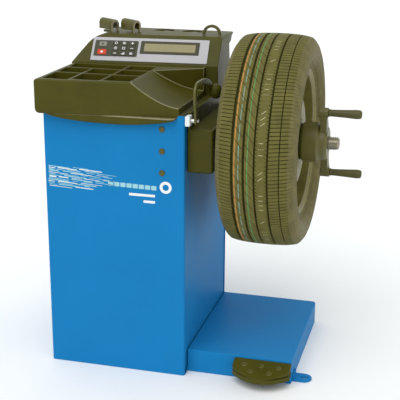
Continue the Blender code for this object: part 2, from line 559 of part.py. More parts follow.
def quick_nut():
    """The quick nut: a hub with two bosses, a handle on each and the cup that it pushes on the wheel."""
    axis = empty("nut_axis", (0, AXIS_Y, AXIS_Z), MACHINE)
    bore = SHAFT_R + 0.0006
    hub = piece("quick_nut", turned([(0.726, bore), (0.726, 0.052), (0.735, 0.060), (0.778, 0.060),
                                     (0.784, 0.052), (0.800, 0.050), (0.806, 0.044), (0.806, bore)], 28),
                BLACK, axis)
    lean = math.radians(112)  # the upper arm leans to the front
    for number in range(2):
        turn = lean + number * math.pi
        reach = Vector((math.cos(turn), math.sin(turn)))
        side = Vector((-reach.y, reach.x))
        near, far = 0.035, NUT_REACH - 0.004
        arm = [reach * near + side * 0.020, reach * far + side * 0.013, reach * far - side * 0.013,
               reach * near - side * 0.020]
        join(hub, prism([tuple(p) for p in arm], "X", 0.784, 0.804),
             disc("X", tuple(reach * NUT_REACH), 0.0145, 0.780, 0.808))
        cut(hub, disc("X", tuple(reach * NUT_REACH), 0.0053, 0.790, 0.9, 12))
        grip = turned([(0.793, 0), (0.793, 0.005), (0.8085, 0.005), (0.8085, 0.010), (0.830, 0.0105),
                       (0.893, 0.0135), (0.902, 0.0105), (0.904, 0)], 16, tuple(reach * NUT_REACH))
        piece(f"nut_handle_{number + 1}", grip, RUBBER, axis)
    cut(hub, disc("X", (0, 0), bore, 0.7, 0.85, 28))
    cup_floor = HUB_FACE_X + 0.008 + GAP
    piece("pressure_cup", turned([(cup_floor, 0.058), (cup_floor, 0.068), (0.716, 0.068), (0.7257, 0.060),
                                  (0.7257, bore), (0.718, bore), (0.718, 0.052), (0.712, 0.058)]), BLACK,
          axis)


# ---------------------------------------------------------------- gauge arm, pedal and brake


def gauge():
    """The rod that measures the rim's distance, in its nylon guide, and the arm that swings on its end."""
    axis = empty("gauge_axis", (0, GAUGE_Y, GAUGE_Z), MACHINE)
    piece("gauge_rod", turned([(0.110, 0), (0.110, GAUGE_ROD_R), (0.4555, GAUGE_ROD_R), (0.4555, 0.0035),
                               (0.4655, 0.0035), (0.4655, 0.0055), (0.4680, 0.0055), (0.4680, 0)], 16),
          STEEL, axis)
    guide = piece("gauge_guide", block((CABINET_W + GAP, 0.0005, GAUGE_Z - 0.0145),
                                       (CABINET_W + 0.0145, 0.0290, GAUGE_Z + 0.0145)), NYLON)
    soften(guide, 0.002, 1)
    cut(guide, disc("X", (GAUGE_Y, GAUGE_Z), GAUGE_ROD_R + GAP, 0.42, 0.46))
    arm = piece("gauge_arm", prism(arm_outline(), "X", 0.4560, 0.4640), BLACK, axis)
    cut(arm, disc("X", (0, 0), 0.0039, 0.44, 0.48, 12))
    piece("gauge_head", turned([(0.4643, 0), (0.4643, 0.018), (0.470, 0.0225), (0.480, 0.0225),
                                (0.488, 0.017), (0.491, 0.009), (0.491, 0)], 20, GAUGE_HEAD), RUBBER, axis)


def arm_outline():
    """The arm rises from the rod, bends back over a round elbow and ends round behind the head."""
    path = [(0.0, 0.0), (-0.009, 0.040), (-0.015, 0.072), (-0.008, 0.092), (0.010, 0.101), (0.050, 0.101),
            (0.095, 0.096), (0.128, 0.085), (0.150, 0.070), GAUGE_HEAD]
    half = [0.011, 0.009, 0.008, 0.008, 0.008, 0.008, 0.009, 0.011, 0.014, 0.016]
    left, right = [], []
    for i, (y, z) in enumerate(path):
        before, after = path[max(i - 1, 0)], path[min(i + 1, len(path) - 1)]
        along = Vector((after[0] - before[0], after[1] - before[1])).normalized()
        left.append((y - along.y * half[i], z + along.x * half[i]))
        right.append((y + along.y * half[i], z - along.x * half[i]))
    start = math.atan2(right[0][1], right[0][0])
    foot = circle((0, 0), half[0], 8, start, -math.pi)[1:-1]
    end = math.atan2(left[-1][1] - GAUGE_HEAD[1], left[-1][0] - GAUGE_HEAD[0])
    head = circle(GAUGE_HEAD, half[-1], 8, end, -math.pi)[1:-1]
    return left + head + list(reversed(right)) + foot


def pedal():
    """The foot pedal on its cross shaft, whose crank lifts the push rod and so the brake lever."""
    axis = empty("pedal_axis", (0, PEDAL_AXIS_Y, PEDAL_AXIS_Z), MACHINE)
    y0 = PLATFORM_FRONT - PEDAL_AXIS_Y - 0.003  # leaves room for the tread's lower edge when it tips
    front = [(0.578 + 0.174 * i / 16, PEDAL_FRONT * math.sin(math.pi * (0.10 + 0.80 * i / 16)) ** 0.75)
             for i in range(17)]
    outline = [(0.5785, y0), (0.7515, y0)] + [(x, y0 + y) for x, y in reversed(front)]
    tread = loft([(x, y, -0.012) for x, y in outline],
                 [(x, y, 0.027 + 0.30 * (y - y0)) for x, y in outline])
    plate = piece("foot_pedal", tread, BLACK, axis)
    join(plate, *[block((x, y0 - 0.004, -0.011), (x + 0.022, 0.011, 0.010)) for x in (0.602, 0.711)])
    cut(plate, disc("X", (0, 0), PEDAL_SHAFT_R + GAP, 0.5, 0.8))
    shaft = piece("brake_shaft", disc("X", (0, 0), PEDAL_SHAFT_R, BRAKE_X - 0.009, 0.7476), ZINC, axis)
    crank = [(-0.006, -0.006), (CRANK_R + 0.007, -0.005), (CRANK_R + 0.007, 0.004), (-0.006, 0.0065)]
    join(shaft, prism(crank, "X", BRAKE_X - 0.006, BRAKE_X + 0.006))
    y = PEDAL_AXIS_Y + CRANK_R
    piece("brake_rod", disc("Z", (BRAKE_X, y), 0.004, PEDAL_AXIS_Z + 0.0055, BRAKE_PIVOT_Z - 0.0065, 12),
          ZINC)
    pivot = empty("brake_axis", (0, BRAKE_PIVOT_Y, BRAKE_PIVOT_Z), MACHINE)
    reach = y - BRAKE_PIVOT_Y
    lever = piece("brake_lever", block((BRAKE_X - 0.006, reach - 0.008, -0.006),
                                       (BRAKE_X + 0.006, 0.010, 0.006)), ZINC, pivot)
    pad = AXIS_Y - BRAKE_PIVOT_Y
    gap = 0.0024  # closes when the pedal is down
    pad_top = AXIS_Z - BRAKE_PIVOT_Z - DRUM_R - gap
    join(lever, block((BRAKE_X - 0.007, pad - 0.015, 0.004), (BRAKE_X + 0.007, pad + 0.015, pad_top)))
    cut(lever, disc("X", (0, 0), 0.0045, 0.14, 0.2, 12))


def electrics():
    """The power supply, the mains inlet and the rocker switch in the rear cover."""
    supply = piece("power_supply", block((0.040, 0.300, BASE_PLATE + 2 * GAP), (0.160, 0.500, 0.130)), ZINC)
    soften(supply, 0.003, 1)
    inlet = piece("mains_inlet", block((INLET_X - 0.0155, 0.480, INLET_Z - 0.0135),
                                       (INLET_X + 0.0155, CABINET_D + 0.003, INLET_Z + 0.0135)), BLACK)
    join(inlet, block((INLET_X - 0.021, CABINET_D + GAP, INLET_Z - 0.018),
                      (INLET_X + 0.021, CABINET_D + 0.003, INLET_Z + 0.018)))
    cut(inlet, block((INLET_X - 0.012, 0.495, INLET_Z - 0.009), (INLET_X + 0.012, 0.6, INLET_Z + 0.008)))
    pivot = empty("switch_axis", (SWITCH_X, CABINET_D - 0.002, INLET_Z), MACHINE)
    rocker = [(-0.006, -0.011), (0.0015, -0.0115), (0.0060, -0.0105), (0.0030, 0.0), (0.0025, 0.0105),
              (-0.006, 0.011)]
    piece("power_switch", prism(rocker, "X", -0.0085, 0.0085), RED_KEY, pivot)


# ---------------------------------------------------------------- the scene

for old in list(bpy.data.objects):
    bpy.data.objects.remove(old, do_unlink=True)
MACHINE = empty("machine", (-CABINET_W / 2, -CABINET_D / 2, 0))

cabinet()
platform()
weight_tray()
display_housing()
panel_pieces()
shelf_and_pegs()
spindle()
drive()
spindle_cover()
wheel()
quick_nut()
gauge()
pedal()
electrics()
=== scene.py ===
"""The looks of the wheel balancer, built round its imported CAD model. Metres, in that model's frame.

Lengths are measured from the cabinet's front left foot, X to the right towards the wheel and Y to the back.
"""

import json
import random
from itertools import cycle
from math import atan, atan2, copysign, cos, hypot, pi, radians, sin, tan, tau

import bmesh
import bpy
from mathutils import Matrix, Vector


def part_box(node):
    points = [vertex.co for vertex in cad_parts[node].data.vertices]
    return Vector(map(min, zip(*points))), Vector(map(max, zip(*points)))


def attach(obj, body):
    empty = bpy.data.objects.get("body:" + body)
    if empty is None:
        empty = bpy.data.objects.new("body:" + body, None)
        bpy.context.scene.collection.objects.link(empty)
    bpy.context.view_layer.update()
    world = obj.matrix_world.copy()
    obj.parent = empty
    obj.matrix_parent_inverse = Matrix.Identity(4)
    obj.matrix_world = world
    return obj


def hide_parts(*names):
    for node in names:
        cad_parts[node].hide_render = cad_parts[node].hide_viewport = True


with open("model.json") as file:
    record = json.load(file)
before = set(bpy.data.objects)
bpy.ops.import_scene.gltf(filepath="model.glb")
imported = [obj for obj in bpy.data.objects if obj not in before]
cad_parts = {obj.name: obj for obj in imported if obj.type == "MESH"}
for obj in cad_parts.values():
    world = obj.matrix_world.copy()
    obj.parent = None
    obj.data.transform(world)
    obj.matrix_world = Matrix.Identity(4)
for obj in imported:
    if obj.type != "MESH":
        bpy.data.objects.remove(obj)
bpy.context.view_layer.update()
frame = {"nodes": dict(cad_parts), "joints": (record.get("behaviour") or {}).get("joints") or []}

# ---------------------------------------------------------------- lengths read from the frame

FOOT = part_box("cabinet_shell")[0]


def local_box(node):
    """A CAD node's box, in lengths from the foot."""
    low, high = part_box(node)
    return low - FOOT, high - FOOT


def middle(node):
    low, high = local_box(node)
    return (low + high) / 2


GAP = 0.0003  # between pieces that touch
SHEET = 0.003
_, SHELL_HIGH = local_box("cabinet_shell")
CABINET_W, CABINET_H = SHELL_HIGH.x, SHELL_HIGH.z
CABINET_D = local_box("cabinet_rear_cover")[1].y
DECK_Z = local_box("cabinet_top_plate")[1].z + GAP
PLATFORM_LOW, PLATFORM_HIGH = local_box("base_platform")
AXIS = middle("main_shaft")
SHAFT_LOW, SHAFT_HIGH = local_box("main_shaft")
SHAFT_R = 0.02
WHEEL_X = middle("tyre").x
TYRE_R = local_box("tyre")[1].z - AXIS.z
TYRE_HALF = local_box("tyre")[1].x - WHEEL_X
BEAD_R, RIM_HALF, RIM_FLANGE_R, WELL_R = 0.2032, 0.0825, 0.2185, 0.1735
HUB_FACE = local_box("backing_flange")[1].x + GAP - WHEEL_X
ON_AXIS, WHEEL_CENTRE = (0, AXIS.y, AXIS.z), (WHEEL_X, AXIS.y, AXIS.z)
SPINDLE_HOLE_R = 0.052

TRAY_LOW, TRAY_HIGH = local_box("weight_tray")
TRAY_BOTTOM, TRAY_SWEEP = 0.795, 0.095
POCKET_FLOOR = TRAY_HIGH.z - 0.03
POCKET_ROWS = ((-0.03, 0.086), (0.095, 0.172), (0.182, 0.25))
POCKET_COLUMNS = ((0.01, 0.087), (0.096, 0.18), (0.189, 0.268))
POCKET_BACK_COLUMNS = ((0.01, 0.18), (0.189, 0.268))
SCOOP_LEFT, SCOOP_LOW, SCOOP_POWER = 0.276, 0.826, 1.6
TRAY_BACK, PANEL_SWEEP = 0.262, 0.08

HOUSING_LOW, HOUSING_HIGH = local_box("display_housing")
HOUSING_TOP = HOUSING_HIGH.z
SHELF_LOW, SHELF_HIGH = local_box("tool_shelf")
GAUGE = middle("gauge_rod")
HEAD = middle("gauge_head")
PEDAL_AXIS = middle("brake_shaft")
PLUGS = [middle(f"hole_plug_{number}") for number in (1, 2, 3)]


def tray_front(x):
    return TRAY_LOW.y + (x - TRAY_LOW.x) * TRAY_SWEEP


def housing_front(x):
    return TRAY_BACK + (x - HOUSING_LOW.x) * PANEL_SWEEP


def scoop_z(x):
    share = (TRAY_HIGH.x - x) / (TRAY_HIGH.x - SCOOP_LEFT)
    return SCOOP_LOW + (TRAY_HIGH.z - SCOOP_LOW) * share ** SCOOP_POWER


def scoop_back(x):
    return 0.19 + (x - SCOOP_LEFT) * 0.6


# ---------------------------------------------------------------- materials


COAT_ROUGHNESS = 0.12
DRIFT = (0.3, 0.7)  # the span of the broad noise that carries the drift


def filled(node, values):
    """A shader node with values in its sockets, whose names have _ for each space."""
    for socket, value in values.items():
        node.inputs[socket.replace("_", " ")].default_value = value
    return node


def material(name, colour, roughness, metallic=0.0, tone=0.1, tone_scale=14.0, spread=0.05, grain=0.15,
             grain_scale=1200.0, stretch=(1, 1, 1), coat=0.0, depth=0.0002, shine=0.25, slot=None):
    """A finish whose tone and roughness drift over the surface, with a fine grain in its relief.

    tone is the share by which the colour drifts, stretch draws the grain out along the axes, shine is the
    level of its reflections, and slot is the record's material slot when it isn't the finish's own name.
    """
    made = bpy.data.materials.new(name)
    made["slot"] = slot or name
    made.use_nodes = True
    nodes = made.node_tree.nodes

    def node(kind, **values):
        return filled(nodes.new("ShaderNode" + kind), values)

    def link(start, output, end, socket):
        made.node_tree.links.new(start.outputs[output], end.inputs[socket])

    shader = filled(nodes["Principled BSDF"], {"Metallic": metallic, "Specular_IOR_Level": shine,
                                               "Coat_Weight": coat, "Coat_Roughness": COAT_ROUGHNESS})
    place = node("TexCoord")
    broad = node("TexNoise", Scale=tone_scale, Detail=6.0, Roughness=0.6)
    link(place, "Object", broad, "Vector")
    ramp = node("ValToRGB")
    for element, position, share in zip(ramp.color_ramp.elements, DRIFT, (1 - tone, 1 + tone)):
        element.position = position
        element.color = (*[min(1.0, c * share) for c in colour], 1)
    link(broad, "Fac", ramp, "Fac")
    link(ramp, "Color", shader, "Base Color")
    gloss = node("MapRange", From_Min=DRIFT[0], From_Max=DRIFT[1], To_Min=max(0.02, roughness - spread),
                 To_Max=min(1.0, roughness + spread))
    link(broad, "Fac", gloss, "Value")
    link(gloss, "Result", shader, "Roughness")

    drawn = node("Mapping", Scale=stretch)
    link(place, "Object", drawn, "Vector")
    fine = node("TexNoise", Scale=grain_scale, Detail=3.0)
    link(drawn, "Vector", fine, "Vector")
    relief = node("Bump", Strength=grain, Distance=depth)
    link(fine, "Fac", relief, "Height")
    link(relief, "Normal", shader, "Normal")
    return made


TURNED = (60, 1, 1)  # rings round the X axis, as a lathe leaves them

BLUE = material("blue_paint", (0.009, 0.193, 0.465), 0.46, tone=0.035, tone_scale=5, grain=0.1,
                grain_scale=700, shine=0.06)
BLACK_SHEET = material("black_sheet", (0.045, 0.042, 0.006), 0.55, grain=0.2, grain_scale=900)
MOULDING = material("black_moulding", (0.062, 0.058, 0.004), 0.4, tone=0.14, grain=0.35, grain_scale=1500,
                    shine=0.16)
SHINY = material("smooth_moulding", (0.082, 0.076, 0.01), 0.28, grain=0.1, grain_scale=900, shine=0.4,
                 slot="black_moulding")
# a much lighter copy of the black moulding, a painted highlight, for the cone saddles' end faces
END_FACE_HIGHLIGHT = material("end_face_painted_highlight", (0.34, 0.31, 0.2), 0.5, tone=0.12, tone_scale=60, slot="black_moulding")
# a lighter copy of the black moulding, a painted highlight, which the tray's rounded rims and the lip's upper
# faces take
EDGE_PAINTED_HIGHLIGHT = material("edge_painted_highlight", (0.19, 0.175, 0.085), 0.3, tone=0.15, tone_scale=40, shine=0.5,
                slot="black_moulding")
SILVER = material("silver_panel", (0.46, 0.45, 0.47), 0.45, tone=0.03, grain=0.12, grain_scale=400,
                  stretch=(1, 8, 8))
PAD = material("keypad", (0.06, 0.062, 0.034), 0.55, tone=0.08, grain=0.3, grain_scale=1800)
KEY = material("dark_key", (0.05, 0.05, 0.026), 0.5, tone=0.06, grain=0.3, grain_scale=1800, slot="keypad")
GREY_KEY = material("grey_key", (0.24, 0.24, 0.19), 0.5, tone=0.05, grain=0.3, grain_scale=1800)
RED_KEY = material("red_key", (0.62, 0.045, 0.012), 0.42, tone=0.05, grain=0.2, grain_scale=1500)
ROCKER = material("red_rocker", (0.55, 0.015, 0.01), 0.25, tone=0.06, grain=0.05, shine=0.5)
WHITE = material("white_print", (0.8, 0.82, 0.82), 0.5, tone=0.03, grain=0.1, slot="white_nylon")
GLASS = material("display_glass", (0.24, 0.205, 0.08), 0.16, tone=0.05, tone_scale=30, grain=0.02, coat=0.3)
DARK_FRAME = material("display_frame", (0.04, 0.038, 0.014), 0.35, tone=0.08, grain=0.1, slot="keypad")
BOARD = material("circuit_board", (0.012, 0.12, 0.035), 0.4, tone=0.15, tone_scale=60)
STEEL = material("bright_steel", (0.6, 0.6, 0.55), 0.26, metallic=1.0, tone=0.08, spread=0.08, grain=0.25,
                 grain_scale=120, stretch=TURNED)
THREAD = material("thread_steel", (0.3, 0.28, 0.2), 0.32, metallic=1.0, tone=0.08, spread=0.08, grain=0.25,
                  grain_scale=120, stretch=TURNED, slot="bright_steel")
ZINC = material("zinc_steel", (0.5, 0.5, 0.46), 0.42, metallic=1.0, tone=0.18, tone_scale=60, spread=0.1)
CASTING = material("grey_casting", (0.085, 0.088, 0.085), 0.5, metallic=0.3, tone=0.18, tone_scale=30,
                   grain=0.6, grain_scale=350, depth=0.0005)
ALUMINIUM = material("cast_aluminium", (0.52, 0.52, 0.52), 0.38, metallic=1.0, grain=0.3, grain_scale=90,
                     stretch=TURNED)
BELT = material("belt_rubber", (0.012, 0.012, 0.012), 0.75, tone=0.2, grain=0.4, grain_scale=900)
TYRE = material("tyre_rubber", (0.125, 0.113, 0.03), 0.6, tone=0.18, tone_scale=26, grain=0.35,
                grain_scale=1100, shine=0.12)
SIDEWALL = material("tyre_sidewall", (0.15, 0.13, 0.05), 0.55, tone=0.22, tone_scale=34, grain=0.25,
                    grain_scale=900, shine=0.12, slot="tyre_rubber")
# a darker copy of the tyre rubber, a painted shade, for the floors of the grooves and cross cuts
GROOVE_PAINTED_SHADE = material("tyre_groove", (0.04, 0.036, 0.006), 0.8, tone=0.2, tone_scale=40, grain=0.3, shine=0.1)
ORANGE = material("tread_line_orange", (0.42, 0.205, 0.05), 0.7, tone=0.25, tone_scale=240, grain=0.3)
CYAN = material("tread_line_blue", (0.19, 0.3, 0.235), 0.7, tone=0.25, tone_scale=240, grain=0.3)
GREEN = material("tread_line_green", (0.085, 0.27, 0.08), 0.7, tone=0.25, tone_scale=240, grain=0.3)
CHALK = material("tread_marks", (0.42, 0.38, 0.21), 0.8, tone=0.25, tone_scale=300, grain=0.3,
                 slot="tyre_rubber")
RIM = material("wheel_alloy", (0.26, 0.24, 0.145), 0.42, metallic=0.2, tone=0.14, tone_scale=22, spread=0.08)
# a darker copy of the wheel alloy, a painted shade, for the rim's barrel
RIM_PAINTED_SHADE = material("rim_barrel_painted_shade", (0.165, 0.15, 0.035), 0.42, metallic=0.1, tone=0.25, tone_scale=25,
                    spread=0.1, slot="wheel_alloy")
# a lighter copy of the rim's colour, a painted highlight, for the flange lips and by the bead seats
RIM_PAINTED_HIGHLIGHT = material("rim_edge", (0.25, 0.23, 0.125), 0.35, metallic=0.3, tone=0.15, tone_scale=60)
BLACK_METAL = material("black_metal", (0.105, 0.096, 0.02), 0.36, tone=0.12, grain=0.2, shine=0.4)
GRIP = material("grip_rubber", (0.072, 0.066, 0.014), 0.45, grain=0.35, grain_scale=1600, shine=0.35)
NYLON = material("white_nylon", (0.78, 0.83, 0.86), 0.35, tone=0.02, grain=0.1)
CASE = material("supply_case", (0.42, 0.42, 0.38), 0.45, metallic=0.8, tone=0.15, tone_scale=50)
PALE_PRINT = material("pale_print", (0.32, 0.6, 0.66), 0.45, tone=0.05, grain=0.1, slot="blue_paint")
FLOOR = material("floor", (0.91, 0.92, 0.92), 0.75, tone=0.006, tone_scale=2, grain=0.02, shine=0.1)

# ---------------------------------------------------------------- mesh tools


def stack(rings):
    """A solid through outlines that have the same number of points, capped at both ends."""
    bm = bmesh.new()
    rows = [[bm.verts.new(p) for p in ring] for ring in rings]
    bm.faces.new(rows[0])
    bm.faces.new(rows[-1])
    count = len(rows[0])
    for near, far in zip(rows, rows[1:]):
        for i in range(count):
            j = (i + 1) % count
            bm.faces.new((near[i], near[j], far[j], far[i]))
    bmesh.ops.recalc_face_normals(bm, faces=bm.faces)
    return bm


def block(low, high):
    (x0, y0, z0), (x1, y1, z1) = low, high
    outline = ((x0, y0), (x1, y0), (x1, y1), (x0, y1))
    return stack([[(x, y, z) for x, y in outline] for z in (z0, z1)])


def prism(outline, axis, *stations):
    """An outline pushed along the axis across its plane: (y, z) for X, (x, z) for Y and (x, y) for Z."""
    slot = "XYZ".index(axis)
    return stack([[(*p[:slot], along, *p[slot:]) for p in outline] for along in stations])


def circle(centre, radius, steps, start=0.0, sweep=tau):
    """Points round a circle, or along an arc when sweep is less than a full turn."""
    spans = steps if abs(sweep) == tau else steps - 1
    angles = [start + sweep * i / spans for i in range(steps)]
    return [(centre[0] + radius * cos(a), centre[1] + radius * sin(a)) for a in angles]


def disc(axis, centre, radius, start, end, steps=48):
    return prism(circle(centre, radius, steps), axis, start, end)


def rounded(low, high, radius, steps=6):
    """A rectangle's outline with round corners."""
    (x0, y0), (x1, y1) = low, high
    corners = ((x1 - radius, y1 - radius), (x0 + radius, y1 - radius),
               (x0 + radius, y0 + radius), (x1 - radius, y0 + radius))
    points = []
    for quarter, corner in enumerate(corners):
        points += circle(corner, radius, steps, quarter * pi / 2, pi / 2)
    return points


def grown(low, high, amount):
    """A rectangle's corners moved out by an amount."""
    return (low[0] - amount, low[1] - amount), (high[0] + amount, high[1] + amount)


def quarter(steps):
    """(1 - sine, 1 - cosine) at even steps of a quarter turn."""
    return [(1 - sin(a), 1 - cos(a)) for a in (pi / 2 * i / (steps - 1) for i in range(steps))]


def pillow(low, high, radius, z0, z1, edge, crown=0.0, steps=5):
    """A block with round corners whose upper edge is rounded over, and whose top may be crowned."""
    rings = [[(x, y, z0) for x, y in rounded(low, high, radius, steps)]]
    for drop, inward in quarter(steps):
        inset = edge * inward
        outline = rounded(*grown(low, high, -inset), max(radius - inset, 0.0002), steps)
        rings.append([(x, y, z1 - edge * drop) for x, y in outline])
    if crown:
        outline = rounded(*grown(low, high, -edge - crown * 3), max(radius - edge, 0.0002), steps)
        rings.append([(x, y, z1 + crown) for x, y in outline])
    return stack(rings)


def turned(profile, steps=96, centre=(0.0, 0.0)):
    """A profile of (x, radius) points turned round the X axis."""
    bm = bmesh.new()
    rings = []
    for x, radius in profile:
        if radius == 0:
            rings.append([bm.verts.new((x, *centre))] * steps)
        else:
            rings.append([bm.verts.new((x, y, z)) for y, z in circle(centre, radius, steps)])
    for a, b in zip(rings, rings[1:] + rings[:1]):
        for i in range(steps):
            j = (i + 1) % steps
            corners = list(dict.fromkeys((a[i], a[j], b[j], b[i])))
            if len(corners) > 2:
                bm.faces.new(corners)
    bmesh.ops.recalc_face_normals(bm, faces=bm.faces)
    return bm


def softened(profile, radius, steps=4):
    """A profile with each corner rounded, by as much as its sides allow."""
    points = []
    count = len(profile)
    for i, here in enumerate(profile):
        p, a, b = Vector(here), Vector(profile[i - 1]), Vector(profile[(i + 1) % count])
        reach = min(radius, (a - p).length * 0.45, (b - p).length * 0.45)
        if here[1] == 0 or reach == 0:
            points.append(tuple(here))
            continue
        start, end = p + (a - p).normalized() * reach, p + (b - p).normalized() * reach
        for k in range(steps):
            t = k / (steps - 1)
            points.append(tuple(start * (1 - t) ** 2 + p * 2 * t * (1 - t) + end * t ** 2))
    return points


def curve_through(points, steps=6):
    """Points along a smooth curve through the given ones."""
    ends = [Vector(p) for p in (points[0], *points, points[-1])]
    found = []
    for a, b, c, d in zip(ends, ends[1:], ends[2:], ends[3:]):
        for i in range(steps):
            t = i / steps
            found.append(0.5 * (2 * b + (c - a) * t + (2 * a - 5 * b + 4 * c - d) * t ** 2
                                + (3 * b - a - 3 * c + d) * t ** 3))
    return [tuple(p) for p in found] + [tuple(points[-1])]


def joined(*meshes):
    """Several meshes as one, each still its own closed shell."""
    whole = meshes[0]
    for extra in meshes[1:]:
        mesh = bpy.data.meshes.new("joined")
        extra.to_mesh(mesh)
        extra.free()
        whole.from_mesh(mesh)
        bpy.data.meshes.remove(mesh)
    return whole


def posed(offset, turn=0.0, axis="Z"):
    return Matrix.Translation(offset) @ Matrix.Rotation(turn, 4, axis)


def moved(bm, offset=(0, 0, 0), turn=0.0, axis="Z"):
    bm.transform(posed(offset, turn, axis))
    return bm


def shown(name, data):
    """A new object in the scene."""
    made = bpy.data.objects.new(name, data)
    bpy.context.scene.collection.objects.link(made)
    return made


def combined(operation, base, *others):
    """The Boolean of a mesh with others, as a new mesh."""
    objects = []
    for bm in (base, *others):
        mesh = bpy.data.meshes.new("tool")
        bm.to_mesh(mesh)
        bm.free()
        objects.append(shown("tool", mesh))
    for other in objects[1:]:
        change = objects[0].modifiers.new("combine", "BOOLEAN")
        change.operation = operation
        change.object = other
        change.solver = "EXACT"
    graph = bpy.context.evaluated_depsgraph_get()
    result = bpy.data.meshes.new_from_object(objects[0].evaluated_get(graph), depsgraph=graph)
    bm = bmesh.new()
    bm.from_mesh(result)
    bpy.data.meshes.remove(result)
    for obj in objects:
        mesh = obj.data
        bpy.data.objects.remove(obj, do_unlink=True)
        bpy.data.meshes.remove(mesh)
    bmesh.ops.remove_doubles(bm, verts=bm.verts, dist=2e-6)
    bmesh.ops.dissolve_degenerate(bm, edges=bm.edges, dist=1e-6)
    return bm


def less(base, *others):
    return combined("DIFFERENCE", base, *others)


def plus(base, *others):
    return combined("UNION", base, *others)


def round_edges(bm, width, segments=2, angle=40.0, where=None, clamp=False, finish=0):
    """Rounds the edges that turn by more than an angle, or those of them whose middle passes a test.

    finish is the material that the rounding takes.
    """
    edges = []
    for edge in bm.edges:
        if len(edge.link_faces) == 2 and edge.calc_face_angle() > radians(angle):
            if where is None or where((edge.verts[0].co + edge.verts[1].co) / 2):
                edges.append(edge)
    made = bmesh.ops.bevel(bm, geom=edges, offset=width, offset_type="OFFSET", segments=segments, profile=0.5,
                           affect="EDGES", clamp_overlap=clamp)
    for face in made["faces"] if finish else ():
        face.material_index = finish
    return bm


def piece(name, bm, finish, body="root", stands_for=(), at=(0, 0, 0), place=None, angle=32.0, extra=()):
    """The mesh as a named piece that rides on a body, and that stands for the CAD nodes it replaces."""
    mesh = bpy.data.meshes.new(name)
    bm.to_mesh(mesh)
    bm.free()
    mesh.shade_smooth()
    mesh.set_sharp_from_angle(angle=radians(angle))
    for look in (finish, *extra):
        mesh.materials.append(look)
    made = shown(name, mesh)
    made.matrix_world = Matrix.Translation(FOOT) @ (place or Matrix.Translation(at))
    shading = made.modifiers.new("even_normals", "WEIGHTED_NORMAL")
    shading.keep_sharp = True
    shading.weight = 50
    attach(made, body)
    if stands_for:
        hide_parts(*stands_for)
    return made


def screw(name, centre, direction, radius):
    """A pan-head screw with a cross recess whose head stands on a face."""
    head = turned([(0, 0), (0, radius), *[(radius * 0.55 * sin(a), radius * cos(a) * 0.98)
                                          for a in (pi / 2 * i / 5 for i in range(1, 5))],
                   (radius * 0.56, 0)], 24)
    slot = radius * 0.16
    arms = [block((radius * 0.25, -slot, -radius * 0.6), (radius, slot, radius * 0.6)),
            block((radius * 0.25, -radius * 0.6, -slot), (radius, radius * 0.6, slot))]
    turn = Vector((1, 0, 0)).rotation_difference(Vector(direction)).to_matrix().to_4x4()
    return piece(name, less(head, *arms), ZINC, place=Matrix.Translation(centre) @ turn)


def repaint(finish, *nodes):
    """Gives CAD nodes that stay in view a finish of their own."""
    for node in nodes:
        mesh = frame["nodes"][node].data
        mesh.materials.clear()
        mesh.materials.append(finish)


# ---------------------------------------------------------------- cabinet and platform


def cabinet_wrap():
    """The folded front and sides, with round front corners, and the floor welded in."""
    back, bend = SHELL_HIGH.y, 0.006
    outer = [(CABINET_W, back), *circle((CABINET_W - bend, bend), bend, 8, 0, -pi / 2),
             *circle((bend, bend), bend, 8, -pi / 2, -pi / 2), (0, back)]
    inner = [(SHEET, back), *circle((bend, bend), bend - SHEET, 8, -pi, pi / 2),
             *circle((CABINET_W - bend, bend), bend - SHEET, 8, -pi / 2, pi / 2), (CABINET_W - SHEET, back)]
    wrap = prism([*outer, *inner], "Z", 0, CABINET_H)
    holes = [disc("X", ON_AXIS[1:], SPINDLE_HOLE_R, CABINET_W - 0.01, CABINET_W + 0.01),
             disc("X", (PEDAL_AXIS.y, PEDAL_AXIS.z), 0.01, CABINET_W - 0.01, CABINET_W + 0.01),
             disc("X", (GAUGE.y, GAUGE.z), 0.0085, CABINET_W - 0.01, CABINET_W + 0.01),
             *[disc("Y", (plug.x, plug.z), 0.007, -0.01, SHEET + 0.01) for plug in PLUGS]]
    wrap = less(wrap, *holes)
    floor = block((SHEET + 0.001, SHEET + 0.001, 0.0002), (CABINET_W - SHEET - 0.001, back, 0.004))
    piece("cabinet_wrap", joined(wrap, floor), BLUE, stands_for=["cabinet_shell"])


def rear_cover():
    """The screwed rear cover with two rows of vent slots, its screws and a blank plate."""
    low, high = local_box("cabinet_rear_cover")
    panel = block(low, high)
    vents = [prism(rounded((x, z), (x + 0.045, z + 0.006), 0.0029), "Y", low.y - 0.1, high.y + 0.1)
             for x in (0.08, 0.14, 0.245, 0.305) for z in (0.55, 0.58)]
    inlet, rocker = middle("mains_inlet"), middle("power_switch")
    windows = [block((inlet.x - 0.016, 0.4, inlet.z - 0.014), (inlet.x + 0.016, 0.6, inlet.z + 0.014)),
               block((rocker.x - 0.0095, 0.4, inlet.z - 0.013), (rocker.x + 0.0095, 0.6, inlet.z + 0.013))]
    panel = round_edges(less(panel, *vents, *windows), 0.0006, 1)
    piece("rear_cover_panel", panel, BLUE, stands_for=["cabinet_rear_cover"])
    corners = [(x, z) for z in (0.03, 0.28, 0.52, 0.775) for x in (0.012, CABINET_W - 0.012)]
    for number, (x, z) in enumerate(corners, 1):
        screw(f"rear_cover_screw_{number}", (x, high.y, z), (0, 1, 0), 0.0042)
    plate = pillow((0.25, 0.12), (0.35, 0.18), 0.003, 0, 0.0008, 0.0004)
    upright = Matrix.Rotation(pi / 2, 4, "X")
    piece("blank_rating_plate", plate, SILVER, place=posed((0.6, high.y, 0), pi) @ upright)


